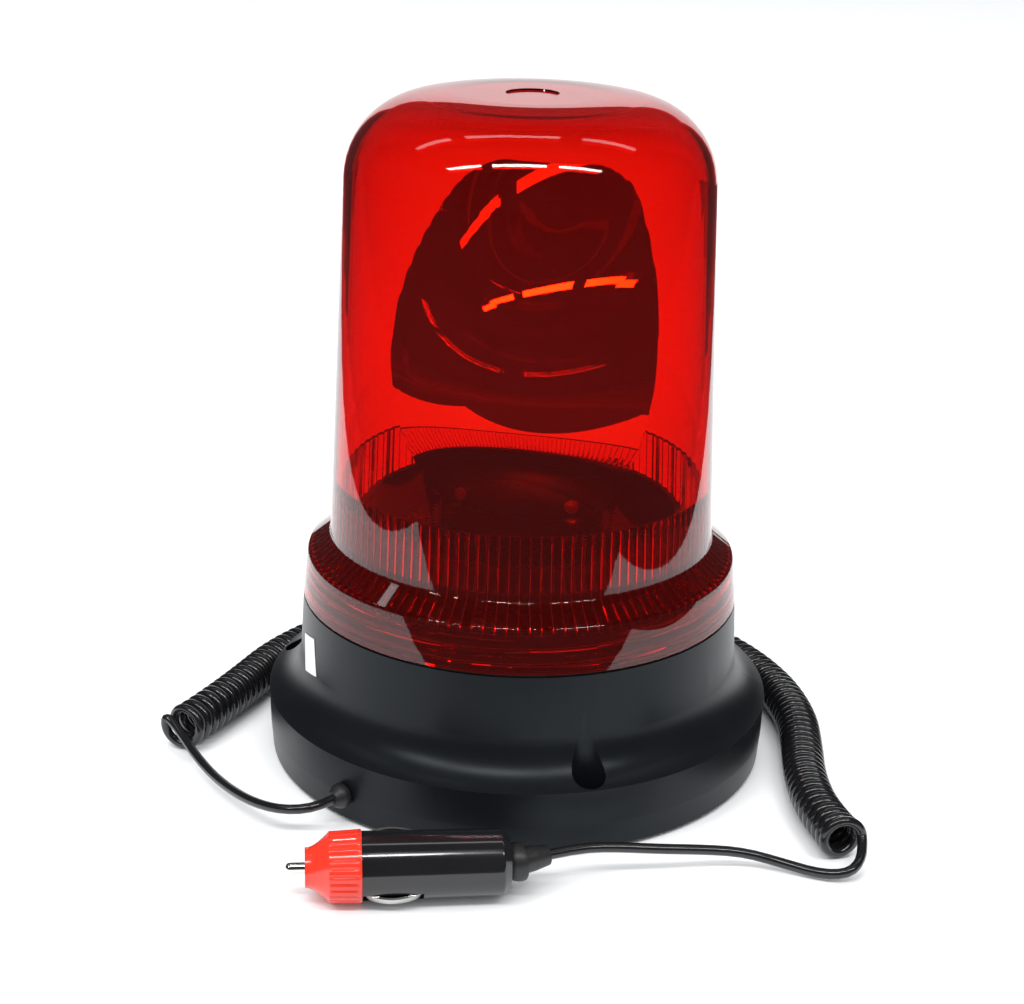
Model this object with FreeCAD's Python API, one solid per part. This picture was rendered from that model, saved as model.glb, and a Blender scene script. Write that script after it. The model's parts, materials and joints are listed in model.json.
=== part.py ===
import FreeCAD, Part
import math
import os

# Rotating beacon with a lift-off dome lens, a magnet base and a curly cord with an accessory plug.
# Millimetres, +Z up. The origin is the centre of the underside, on the surface it stands on.

V = FreeCAD.Vector
UP = V(0, 0, 1)

# ---- clearances --------------------------------------------------------------------------------
fit_gap = 0.25          # between moulded pieces that slide together
running_gap = 0.05      # radial, between a shaft and its bearing
face_gap = 0.1          # between faces of pieces that move past each other
screw_gap = 0.05        # radial, between a screw and its hole
screw_end_gap = 1.0     # a screw stops this far short of the end of its hole
soft_edge = 0.8         # rounds on moulded edges
cut_past = 1.0          # a cutting tool runs this far past the face it opens

# ---- magnet and bottom cover -------------------------------------------------------------------
pad_t = 1.8             # rubber pad under the magnet
magnet_t = 3.7
plate_t = 1.5           # steel plate that closes the magnet's field
cover_floor_t = 2.5
magnet_inset = 25.0     # the magnet's edge inside the widest radius
magnet_bore_r = 20.0
pad_wall_t = 1.6
skirt_lift = 0.8        # the cover's skirt hangs this far above the surface
skirt_t = 2.4
cover_inset = 0.7       # the cover's foot inside the parting line
spigot_h = 3.0
spigot_t = 2.0
rib_count = 12
rib_t = 1.6
rib_phase = 7.0
rib_lift = 1.2
centre_screw_r = 2.5
centre_head_r = 5.0
centre_head_t = 2.6
centre_nut_r = 4.6
centre_nut_t = 4.0

# ---- housing -----------------------------------------------------------------------------------
housing_wall = 2.6
crease_r = 80.0         # widest point, the sharp edge under the flare
foot_inset = 0.3        # the parting line inside the crease
band_h = 11.3           # parting line to crease
shell_h = 43.1          # parting line to the lens seat
neck_inset = 11.3       # the lens seat's edge inside the crease
neck_draft = 3.0
flare_slope = 16.0      # fall of the flare at the crease
flare_radius = 13.8
collar_step = 4.3       # the collar that carries the lens's thread stands this far in
collar_h = 11.9
collar_t = 2.6
ledge_t = 2.5
ledge_w = 6.8           # the ledge under the deck
deck_rise = 9.4         # lens seat to the underside of the deck
fixing_angles = (-73.0, 47.0, 167.0)
fixing_inset = 5.7      # the pockets' axes inside the crease
fixing_hole_r = 2.75
pocket_r = 5.0
pocket_wall = 1.8
pocket_floor_t = 4.5
cover_screw_angles = (-33.0, 87.0, 207.0)
cover_screw_inset = 14.0
cover_boss_r = 3.5
cover_boss_h = 30.0
cover_screw_r = 1.45
cover_screw_l = 14.0
cover_head_r = 2.9
cover_head_t = 1.9

# ---- lens --------------------------------------------------------------------------------------
gasket_t = 0.7
lens_wall = 2.5
lens_flange_h = 13.7
lens_rim_draft = 1.4
lens_shoulder_h = 5.7
lens_shoulder_w = 7.1
lens_wall_draft = 5.3
lens_dome_h = 133.1
lens_crown_h = 3.9
lens_crown_w = 27.9     # from the wall's line to where the crown starts to fall
lens_corner_radius = 25.0
lens_crown_radius = 100.0
lens_edge_radius = 1.4
prism_count = 120
prism_depth = 0.7
prism_h = 19.0

# ---- deck --------------------------------------------------------------------------------------
deck_t = 2.5
deck_rim_gap = 9.2      # from the lens's wall to the rim
deck_rim_t = 2.0
deck_rim_h = 15.5
post_r = 11.0
post_cap_gap = 0.9      # the post ends this far below the top of the rotor's hub
deck_screw_inset = 3.8
deck_screw_r = 1.45
deck_screw_l = 9.0
deck_head_r = 2.6
deck_head_t = 1.7
deck_boss_r = 2.9
deck_boss_h = 9.0
deck_screw_angles = (20.0, 140.0, 260.0)

# ---- gear train --------------------------------------------------------------------------------
pressure_angle = 25.0
addendum = 0.9          # in modules
dedendum = 1.2          # in modules
tooth_thinning = 0.06   # taken off each tooth at its pitch circle
rotor_module = 0.8
rotor_teeth = 72
idler_small_teeth = 12
motor_module = 0.6
idler_large_teeth = 40
motor_teeth = 10
idler_azimuth = 135.0
idler_lift = 1.1        # first gear level above the deck
first_gear_t = 4.7
level_gap = 1.0
rotor_gear_t = 5.0
idler_axle_r = 1.5
idler_axle_foot = 4.0
idler_boss_r = 3.0
idler_clip_r = 3.2
idler_clip_t = 0.6

# ---- rotor hub and reflector ---------------------------------------------------------------------
hub_wall = 3.4
hub_recess_wall = 1.5
hub_recess_h = 2.0
retainer_t = 1.0
thrust_t = 0.7
rotor_boss_h = 1.7
rotor_boss_r = 3.2
rotor_boss_circle_r = 22.5
rotor_hole_r = 3.8
web_recess = 1.5
rotor_rim_t = 3.2
reflector_foot_t = 2.0
reflector_foot_r = 26.0
reflector_foot_hole_r = 10.0
reflector_focus = 24.0
reflector_focus_h = 40.0
reflector_wall = 1.6
reflector_half_w = 42.0
reflector_top_h = 108.0
reflector_mid_h = 53.0
reflector_side_radius = 88.0
reflector_corner_radius = 9.0
reflector_turn = -15.0  # where the reflector stands at rest, about +Z
reflector_screw_r = 1.2
reflector_screw_l = 5.5
reflector_head_r = 2.4
reflector_head_t = 1.5

# ---- lamp --------------------------------------------------------------------------------------
holder_r = 8.5
holder_wall = 0.75
holder_top_h = 27.5     # above the deck's floor
holder_flange_r = 12.5
holder_flange_t = 0.8
bulb_cap_r = 7.6
bulb_cap_l = 20.0
bulb_pin_r = 1.0
bulb_pin_reach = 9.0
bulb_pin_drop = 6.5     # below the holder's mouth
slot_gap = 0.15
bulb_neck_r = 7.0
bulb_globe_r = 12.8
glass_t = 0.8
filament_l = 7.0
filament_r = 0.9
filament_post_r = 0.35
contact_disc_t = 1.5
contact_drop = 1.6
contact_spring_r = 5.0
contact_spring_t = 0.8
contact_pin_r = 1.6
rivet_r = 1.1

# ---- motor -------------------------------------------------------------------------------------
motor_r = 12.0
motor_l = 28.0
motor_nose_r = 3.0
motor_nose_h = 1.6
motor_shaft_r = 1.0
motor_shaft_l = 8.0     # hidden in the can
motor_cap_t = 3.0
motor_screw_circle_r = 7.5
motor_screw_r = 1.0
motor_head_r = 1.9
motor_head_t = 1.1
motor_cup_wall = 1.6
motor_cup_h = 6.0
tab_w = 2.8
tab_t = 0.5
tab_l = 5.0

# ---- wiring ------------------------------------------------------------------------------------
cord_d = 3.0
lead_run = 7.0          # straight length of a lead as it leaves the gland or the boot
wire_d = 1.6
gland_azimuth = 230.4
gland_hole_r = 3.0
gland_flange_r = 4.6
gland_flange_t = 2.0
gland_head_r = 3.8
gland_tip_r = 2.3
gland_head_l = 4.6
gland_trough = 1.7      # depth of its seat in the cover's floor
terminal_l = 22.0
terminal_w = 12.0
terminal_h = 9.0
terminal_azimuth = 200.0
terminal_circle_r = 38.0
gland_inner_run = 19.0  # straight length of the cord inside the gland
supply_run = 10.0       # length of the cord's runs behind the gland and before the terminals
terminal_hole_r = 1.8
terminal_hole_depth = 3.0
motor_wire_gap = 10.0   # between the two wires where they leave the terminals
motor_wire_run = 7.0    # straight length of a wire at each end
lamp_wire_run = 10.0
lamp_wire_rise = 14.0   # the bend toward the lamp, above the terminals

# ---- curly cord and its leads, points on their centre lines --------------------------------------
coil_d = 14.4
coil_z = 7.25
COIL_ROUTE = [(-107.3, -18.2), (-99.2, -1.5), (-91.6, 16.5), (-82.5, 41.0), (-64.0, 66.0),
              (-38.5, 83.6), (-8.5, 91.8), (22.0, 89.4), (50.5, 77.2), (73.5, 55.5), (87.5, 28.5),
              (92.6, 3.0), (91.6, -18.0), (90.2, -38.0), (91.2, -55.0), (94.2, -67.5), (96.9, -77.2)]
LEAD_A_ROUTE = [(-68.0, -70.6, 8.4), (-77.3, -63.2, 6.4), (-85.8, -53.0, 4.9), (-93.6, -42.0, 4.4),
                (-100.4, -31.6, 5.6), (-105.5, -23.0, 7.5), (-109.9, -16.8, 9.5)]
LEAD_B_ROUTE = [(101.1, -76.0, 7.25), (101.4, -84.0, 5.2), (97.4, -89.3, 3.2), (89.4, -88.0, 1.9),
                (78.8, -83.4, 2.6), (67.5, -81.6, 4.9), (55.5, -83.4, 6.4), (43.0, -86.4, 7.9),
                (30.5, -88.4, 9.3)]

# ---- accessory plug, lying beside the base -------------------------------------------------------
plug_body_end = (-0.6, -100.3)          # centre of the body's cord end, seen from above
plug_axis_z = 10.5
plug_azimuth = 186.4                    # the way the plug points
plug_roll = -38.0                       # the front contact points this far below level
plug_body_r = 9.8
plug_body_end_r = 9.4
plug_body_l = 41.7
plug_bevel = 2.2
plug_collar_r = 10.3
plug_collar_front_r = 9.9
plug_collar_l = 9.1
plug_nose_l = 6.7
plug_nose_r = 5.7
plug_nose_sag = 1.3                     # how deep the hollow curve round the nose is
plug_nose_wall = 2.4                    # thickness of the wall the tip comes through
plug_cord_gap = 0.6                     # round the cord, inside the body
plug_thread_r = 7.2
plug_thread_l = 7.0
tip_r = 1.6
tip_reach = 5.6
tip_travel = 3.0
tip_flange_r = 3.1
tip_flange_t = 1.2
fuse_r = 3.0
fuse_l = 25.0
fuse_cap_l = 5.0
fuse_cap_t = 0.15
fuse_front_gap = 3.0                    # from the fuse's front to the end of the thread
plug_spring_t = 0.6
contact_l = 16.0
contact_w = 3.0
contact_t = 0.6
contact_bulge = 1.1                     # how far a side contact stands proud of the body
contact_rise = 2.0                      # height of its bow
contact_travel = 0.9
contact_back = 0.6                      # the strip ends this far behind the body's mouth
contact_end_gap = 0.5                   # between the strip's ends and its slot
contact_bed_gap = 0.6                   # under the strip, pressed in
boot_l = 11.5
boot_r = 4.2
boot_tip_r = 2.9
boot_taper_at = 0.62                    # share of the boot's length where its taper steepens
boot_taper = 0.86                       # share of its radius left there
boot_ball_r = 5.6
boot_seat = 0.45                        # how far the ball's centre stands out, in ball radii
boot_turn = 20.0                        # the boot leans this far towards the beacon

# ---- places that follow from the sizes above -----------------------------------------------------
foot_r = crease_r - foot_inset
cover_foot_r = foot_r - cover_inset
neck_r = crease_r - neck_inset
collar_r = neck_r - collar_step
magnet_r = crease_r - magnet_inset
fixing_circle_r = crease_r - fixing_inset
cover_screw_circle_r = crease_r - cover_screw_inset
lens_rim_r = neck_r - lens_rim_draft
lens_foot_r = lens_rim_r - lens_shoulder_w
lens_top_r = lens_foot_r - lens_wall_draft
lens_crown_r = lens_top_r - lens_crown_w
deck_rim_r = lens_foot_r - deck_rim_gap
cover_floor_z = pad_t + magnet_t + plate_t
split_z = cover_floor_z + cover_floor_t
crease_z = split_z + band_h
seat_z = split_z + shell_h
collar_top_z = seat_z + collar_h
deck_z = seat_z + deck_rise
floor_z = deck_z + deck_t
first_gear_z = floor_z + idler_lift
rotor_gear_z = first_gear_z + first_gear_t + level_gap
reflector_seat_z = rotor_gear_z + rotor_gear_t + rotor_boss_h
reflector_z = reflector_seat_z + reflector_foot_t
focus_z = reflector_seat_z + reflector_focus_h
post_top_z = reflector_seat_z - post_cap_gap - retainer_t
hub_bore_r = post_r + running_gap
hub_r = hub_bore_r + hub_wall
lens_z = seat_z + gasket_t + face_gap
lens_rim_z = lens_z + lens_flange_h
lens_foot_z = lens_rim_z + lens_shoulder_h
holder_top_z = floor_z + holder_top_h
foot_in_r = foot_r - housing_wall
collar_in_r = collar_r - collar_t
ledge_in_r = collar_in_r - ledge_w
deck_screw_circle_r = collar_in_r - deck_screw_inset
skirt_in_r = cover_foot_r - skirt_t
train_distance = rotor_module * (rotor_teeth + idler_small_teeth) / 2
motor_distance = motor_module * (idler_large_teeth + motor_teeth) / 2


def polar(radius, degrees):
    """A point in plan from its distance and its angle."""
    a = math.radians(degrees)
    return radius * math.cos(a), radius * math.sin(a)


idler_x, idler_y = polar(train_distance, idler_azimuth)
motor_dx, motor_dy = polar(motor_distance, idler_azimuth + 90)
motor_x, motor_y = idler_x + motor_dx, idler_y + motor_dy


# ---- drawing helpers -----------------------------------------------------------------------------
def rod(r, z0, z1, x=0.0, y=0.0):
    return Part.makeCylinder(r, z1 - z0, V(x, y, z0))


def ring(r_out, r_in, z0, z1, x=0.0, y=0.0):
    return rod(r_out, z0, z1, x, y).cut(rod(r_in, z0 - 1, z1 + 1, x, y))


def rounded_wire(points, place, closed=True):
    """Straight lines between the points; a point with a third value is rounded by that radius."""
    count = len(points)
    stops = []
    for i, point in enumerate(points):
        corner = V(point[0], point[1], 0)
        radius = point[2] if len(point) > 2 else 0
        if radius <= 0 or (not closed and i in (0, count - 1)):
            stops.append((corner, None, corner))
            continue
        u = V(points[i - 1][0], points[i - 1][1], 0) - corner
        w = V(points[(i + 1) % count][0], points[(i + 1) % count][1], 0) - corner
        u.normalize()
        w.normalize()
        half = math.acos(max(-1, min(1, u.dot(w)))) / 2
        reach = radius / math.tan(half)
        middle = (u + w).normalize() * (radius / math.sin(half) - radius)
        stops.append((corner + u * reach, corner + middle, corner + w * reach))
    edges = []
    for i in range(count):
        start, middle, end = stops[i]
        if middle is not None:
            edges.append(Part.Arc(*[place(p.x, p.y) for p in (start, middle, end)]).toShape())
        if i == count - 1 and not closed:
            break
        following = stops[(i + 1) % count][0]
        if (following - end).Length > 1e-6:
            edges.append(Part.LineSegment(place(end.x, end.y), place(following.x, following.y)).toShape())
    return Part.Wire(edges)


def lathe(points, degrees=360):
    """A closed outline of (radius, height) points turned about the vertical axis."""
    face = Part.Face(rounded_wire(points, lambda a, b: V(a, 0, b)))
    return face.revolve(V(0, 0, 0), UP, degrees)


def inset(points, depth):
    """The open outline moved to its left by a depth, with its corner radii kept concentric."""
    count = len(points)
    lines = []
    for (x0, y0), (x1, y1) in [(points[i][:2], points[i + 1][:2]) for i in range(count - 1)]:
        length = math.hypot(x1 - x0, y1 - y0)
        dx, dy = (x1 - x0) / length, (y1 - y0) / length
        lines.append((x0 - dy * depth, y0 + dx * depth, dx, dy))
    moved = [lines[0][:2]]
    for i in range(1, count - 1):
        (ax, ay, adx, ady), (bx, by, bdx, bdy) = lines[i - 1], lines[i]
        turn = adx * bdy - ady * bdx
        along = ((bx - ax) * bdy - (by - ay) * bdx) / turn
        radius = points[i][2] if len(points[i]) > 2 else 0
        if radius > 0:
            radius = max(radius - math.copysign(depth, turn), 0)
        moved.append((ax + adx * along, ay + ady * along, radius))
    end = points[-1]
    dx, dy = lines[-1][2:]
    moved.append((end[0] - dy * depth, end[1] + dx * depth))
    return moved


def turned(shape, degrees, centre=V(0, 0, 0), axis=UP):
    copy = shape.copy()
    copy.rotate(centre, axis, degrees)
    return copy


def union(shapes):
    return shapes[0].multiFuse(list(shapes[1:])).removeSplitter()


# ---- gears ---------------------------------------------------------------------------------------
def involute(angle):
    return math.tan(angle) - angle


def gear_face(teeth, module, phase):
    """A spur gear's outline: each flank is one arc through three points of its involute."""
    pitch_r = module * teeth / 2
    base_r = pitch_r * math.cos(math.radians(pressure_angle))
    tip_radius = pitch_r + addendum * module
    root_r = pitch_r - dedendum * module
    start_r = max(base_r, root_r)
    half_tooth = (math.pi * module / 2 - tooth_thinning) / 2 / pitch_r
    half_base = half_tooth + involute(math.radians(pressure_angle))
    step = 2 * math.pi / teeth

    def flank(radius, centre, side):
        angle = centre + side * (half_base - involute(math.acos(min(1, base_r / radius))))
        return V(radius * math.cos(angle), radius * math.sin(angle), 0)

    def on_circle(radius, angle):
        return V(radius * math.cos(angle), radius * math.sin(angle), 0)

    edges = []
    for i in range(teeth):
        centre = math.radians(phase) + i * step
        radii = (start_r, (start_r + tip_radius) / 2, tip_radius)
        rise = [flank(r, centre, -1) for r in radii]
        fall = [flank(r, centre, 1) for r in reversed(radii)]
        root_half = half_base - involute(math.acos(min(1, base_r / start_r)))
        root_in = on_circle(root_r, centre - root_half)
        root_out = on_circle(root_r, centre + root_half)
        next_in = on_circle(root_r, centre + step - root_half)
        if start_r > root_r:
            edges.append(Part.LineSegment(root_in, rise[0]).toShape())
        edges.append(Part.Arc(*rise).toShape())
        edges.append(Part.Arc(rise[2], on_circle(tip_radius, centre), fall[0]).toShape())
        edges.append(Part.Arc(*fall).toShape())
        if start_r > root_r:
            edges.append(Part.LineSegment(fall[2], root_out).toShape())
        edges.append(Part.Arc(root_out, on_circle(root_r, centre + step / 2), next_in).toShape())
    return Part.Face(Part.Wire(edges))


def gear_body(teeth, module, phase, z0, thickness, x=0.0, y=0.0):
    body = gear_face(teeth, module, phase).extrude(V(0, 0, thickness))
    body.translate(V(x, y, z0))
    return body


# ---- cords and wires -----------------------------------------------------------------------------
def soft_path(points):
    """Straight runs joined by tangent arcs, each arc as large as its two runs allow."""
    points = [V(*p) for p in points]
    edges = []
    radii = []
    start = points[0]
    for before, corner, after in zip(points, points[1:], points[2:]):
        u = before - corner
        w = after - corner
        shorter = min(u.Length, w.Length)
        u.normalize()
        w.normalize()
        half = math.acos(max(-1, min(1, u.dot(w)))) / 2
        reach = 0.45 * shorter
        radius = reach * math.tan(half)
        radii.append(radius)
        middle = corner + (u + w).normalize() * (radius / math.sin(half) - radius)
        edges.append(Part.LineSegment(start, corner + u * reach).toShape())
        edges.append(Part.Arc(corner + u * reach, middle, corner + w * reach).toShape())
        start = corner + w * reach
    edges.append(Part.LineSegment(start, points[-1]).toShape())
    return Part.Wire(edges), radii


def tube(points, diameter, name):
    path, radii = soft_path(points)
    direction = V(*points[1]) - V(*points[0])
    section = Part.Wire([Part.makeCircle(diameter / 2, V(*points[0]), direction)])
    solid = path.makePipeShell([section], True, False)
    expected = math.pi * diameter ** 2 / 4 * path.Length
    print(name, "length %.1f" % path.Length, "smallest radius %.1f" % min(radii),
          "volume ratio %.4f" % (solid.Volume / expected), "radii", [round(r, 1) for r in radii])
    return solid


# ---- base ----------------------------------------------------------------------------------------
def housing_outline():
    """The flared outside of the housing, from the parting line up to the lens seat."""
    lean = math.tan(math.radians(neck_draft))
    fall = math.tan(math.radians(flare_slope))
    # The neck line and the flare line meet here; the flare radius rounds the corner.
    corner_r = (neck_r + (seat_z - crease_z - fall * crease_r) * lean) / (1 - fall * lean)
    corner_z = crease_z + fall * (crease_r - corner_r)
    return [(foot_r, split_z), (crease_r, crease_z), (corner_r, corner_z, flare_radius), (neck_r, seat_z)]


def gland_cut(r_cut, start, end):
    """A cylinder along the gland's axis, between two distances from the beacon's axis."""
    cut = Part.makeCylinder(r_cut, end - start, V(start, 0, split_z), V(1, 0, 0))
    return turned(cut, gland_azimuth)


def make_housing():
    outer = housing_outline()
    inner = inset(outer, housing_wall)
    solid = lathe([(0, split_z)] + outer + [(collar_r, seat_z), (collar_r, collar_top_z, soft_edge),
                                            (0, collar_top_z)])
    neck_in = inner[-1][0]
    under_seat = seat_z - housing_wall
    cavity = lathe([(0, split_z - 1), (foot_in_r, split_z - 1), (foot_in_r, inner[1][1])] + [inner[2]] + [
        (neck_in, under_seat), (collar_in_r, under_seat), (collar_in_r, deck_z - ledge_t),
        (ledge_in_r, deck_z - ledge_t), (ledge_in_r, deck_z), (collar_in_r, deck_z),
        (collar_in_r, collar_top_z + 1), (0, collar_top_z + 1)])
    body = solid.cut(cavity)
    posts = []
    for angle in fixing_angles:
        x, y = polar(fixing_circle_r, angle)
        posts.append(rod(pocket_r + pocket_wall, split_z, seat_z, x, y).common(solid))
    for angle in cover_screw_angles:
        x, y = polar(cover_screw_circle_r, angle)
        posts.append(rod(cover_boss_r, split_z, split_z + cover_boss_h, x, y).common(solid))
    for angle in deck_screw_angles:
        x, y = polar(deck_screw_circle_r, angle)
        posts.append(rod(deck_boss_r, deck_z - deck_boss_h, deck_z, x, y))
    body = union([body] + posts)
    for angle in fixing_angles:
        x, y = polar(fixing_circle_r, angle)
        body = body.cut(rod(pocket_r, split_z + pocket_floor_t, seat_z, x, y))
        body = body.cut(rod(fixing_hole_r, split_z - 1, seat_z, x, y))
    for angle in cover_screw_angles:
        x, y = polar(cover_screw_circle_r, angle)
        body = body.cut(rod(cover_screw_r + screw_gap, split_z - 1, split_z + cover_screw_l, x, y))
    for angle in deck_screw_angles:
        x, y = polar(deck_screw_circle_r, angle)
        body = body.cut(rod(deck_screw_r + screw_gap, floor_z - deck_screw_l, floor_z, x, y))
    return body.cut(gland_cut(gland_hole_r, foot_in_r - 1, crease_r + 2))


def make_bottom_cover():
    spigot_r = foot_in_r - fit_gap
    body = lathe([(skirt_in_r, skirt_lift), (cover_foot_r, skirt_lift, soft_edge), (foot_r, split_z),
                  (spigot_r, split_z), (spigot_r, split_z + spigot_h), (spigot_r - spigot_t, split_z + spigot_h),
                  (spigot_r - spigot_t, split_z), (0, split_z), (0, cover_floor_z),
                  (skirt_in_r, cover_floor_z)])
    pad_r = magnet_r + fit_gap + pad_wall_t
    ribs = []
    for i in range(rib_count):
        rib = Part.makeBox(skirt_in_r - pad_r - 1, rib_t, cover_floor_z - skirt_lift - rib_lift + 0.5,
                           V(pad_r + 1.5, -rib_t / 2, skirt_lift + rib_lift))
        ribs.append(turned(rib, rib_phase + i * 360 / rib_count))
    for angle in fixing_angles:
        x, y = polar(fixing_circle_r, angle)
        body = body.cut(rod(pocket_r + pocket_wall + fit_gap, split_z, split_z + spigot_h + 1, x, y))
        ribs.append(rod(pocket_r, skirt_lift, cover_floor_z + 0.5, x, y).common(
            rod(cover_foot_r - 1, 0, cover_floor_z + 1)))
    body = union([body] + ribs)
    for angle in fixing_angles:
        x, y = polar(fixing_circle_r, angle)
        body = body.cut(rod(fixing_hole_r, 0, split_z + 1, x, y))
    for angle in cover_screw_angles:
        x, y = polar(cover_screw_circle_r, angle)
        body = body.cut(rod(cover_screw_r + screw_gap, 0, split_z + 1, x, y))
        body = body.cut(rod(cover_boss_r + fit_gap, split_z, split_z + spigot_h + 1, x, y))
    body = body.cut(rod(centre_screw_r + screw_gap, 0, split_z + 1))
    body = body.cut(gland_cut(gland_hole_r, spigot_r - spigot_t - 1, crease_r + 2))
    half = gland_flange_r + fit_gap
    trough = Part.makeBox(foot_in_r - ledge_in_r, 2 * half, gland_trough + spigot_h + 1,
                          V(ledge_in_r, -half, split_z - gland_trough))
    return body.cut(turned(trough, gland_azimuth))


def make_magnet_parts():
    plate = ring(magnet_r, centre_screw_r + screw_gap, pad_t + magnet_t, cover_floor_z)
    magnet = ring(magnet_r, magnet_bore_r, pad_t, pad_t + magnet_t)
    cup_r = magnet_r + fit_gap
    pad = lathe([(magnet_bore_r - 1, 0), (cup_r + pad_wall_t, 0, 0.6), (cup_r + pad_wall_t, cover_floor_z),
                 (cup_r, cover_floor_z), (cup_r, pad_t), (magnet_bore_r - 1, pad_t)])
    head_z = pad_t + magnet_t - centre_head_t
    screw = rod(centre_head_r, head_z, pad_t + magnet_t).fuse(
        rod(centre_screw_r, pad_t + magnet_t, split_z + centre_nut_t + 1)).removeSplitter()
    hexagon = [V(*polar(centre_nut_r, i * 60), 0) + UP * split_z for i in range(7)]
    nut = Part.Face(Part.makePolygon(hexagon)).extrude(UP * centre_nut_t)
    nut = nut.cut(rod(centre_screw_r, split_z - 1, split_z + centre_nut_t + 1))
    return {"steel_plate": plate, "magnet": magnet, "rubber_pad": pad, "magnet_screw": screw,
            "magnet_nut": nut}


def make_cover_screws():
    screws = []
    for angle in cover_screw_angles:
        x, y = polar(cover_screw_circle_r, angle)
        screws.append(rod(cover_head_r, cover_floor_z - cover_head_t, cover_floor_z, x, y).fuse(
            rod(cover_screw_r, cover_floor_z, split_z + cover_screw_l - screw_end_gap, x, y)
        ).removeSplitter())
    return Part.makeCompound(screws)


def make_gasket():
    return ring(neck_r - 0.8, collar_r + fit_gap, seat_z, seat_z + gasket_t)


# ---- lens ----------------------------------------------------------------------------------------
def make_lens():
    shoulder = [(neck_r, lens_z), (lens_rim_r, lens_rim_z, lens_edge_radius),
                (lens_foot_r, lens_foot_z, lens_edge_radius),
                (lens_top_r, lens_foot_z + lens_dome_h, lens_corner_radius),
                (lens_crown_r, lens_foot_z + lens_dome_h + lens_crown_h, lens_crown_radius),
                (0, lens_foot_z + lens_dome_h + lens_crown_h)]
    inside = inset(shoulder, lens_wall)
    inside[0] = (inside[0][0], lens_z - 1)
    solid = lathe([(0, lens_z)] + shoulder)
    prism_z = lens_foot_z
    wall_lean = (lens_foot_r - lens_top_r) / lens_dome_h
    low_r = lens_foot_r - lens_wall - 0.1
    high_r = low_r - wall_lean * prism_h
    step = 360 / prism_count
    star = []
    for i in range(prism_count):
        star.append(V(*polar(high_r, i * step), prism_z))
        star.append(V(*polar(high_r - prism_depth, (i + 0.5) * step), prism_z))
    star.append(star[0])
    prism_cut = Part.Face(Part.makePolygon(star)).extrude(UP * prism_h)
    cavity = lathe([(0, lens_z - 1)] + inside)
    band = ring(low_r + 5, 1.0, prism_z, prism_z + prism_h)
    plain_cut = cavity.cut(band)
    return solid.cut(plain_cut).cut(prism_cut)


# ---- deck and gear train -------------------------------------------------------------------------
def make_deck():
    body = union([rod(collar_in_r - fit_gap, deck_z, floor_z),
                  ring(deck_rim_r, deck_rim_r - deck_rim_t, floor_z, floor_z + deck_rim_h),
                  rod(post_r, floor_z, post_top_z),
                  rod(idler_boss_r, deck_z - idler_axle_foot, first_gear_z - face_gap, idler_x, idler_y),
                  ring(motor_r + fit_gap + motor_cup_wall, motor_r + fit_gap, deck_z - motor_cup_h, deck_z,
                       motor_x, motor_y)])
    body = body.cut(rod(holder_r + running_gap, deck_z - 1, post_top_z + 1))
    body = body.cut(rod(idler_axle_r, deck_z - idler_axle_foot, first_gear_z, idler_x, idler_y))
    body = body.cut(rod(motor_nose_r + fit_gap, deck_z - 1, floor_z + 1, motor_x, motor_y))
    for x, y in motor_screw_places():
        body = body.cut(rod(motor_screw_r + screw_gap, deck_z - 1, floor_z + 1, x, y))
        body = body.cut(rod(motor_head_r + screw_gap, floor_z - motor_head_t, floor_z + 1, x, y))
    for angle in deck_screw_angles:
        x, y = polar(deck_screw_circle_r, angle)
        body = body.cut(rod(deck_screw_r + screw_gap, deck_z - 1, floor_z + 1, x, y))
    for x, y in rivet_places():
        body = body.cut(rod(rivet_r, deck_z - 1, floor_z + 1, x, y))
    return body


def motor_screw_places():
    """Two screws on the line through the motor's axis that is square to its idler."""
    dx, dy = polar(motor_screw_circle_r, idler_azimuth)
    return [(motor_x + dx, motor_y + dy), (motor_x - dx, motor_y - dy)]


def rivet_places():
    middle = (holder_r + running_gap + holder_flange_r) / 2
    return [(0, middle), (0, -middle)]


def make_deck_screws():
    screws = []
    for angle in deck_screw_angles:
        x, y = polar(deck_screw_circle_r, angle)
        screws.append(rod(deck_head_r, floor_z, floor_z + deck_head_t, x, y).fuse(
            rod(deck_screw_r, floor_z - deck_screw_l + screw_end_gap, floor_z, x, y)).removeSplitter())
    return Part.makeCompound(screws)


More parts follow.
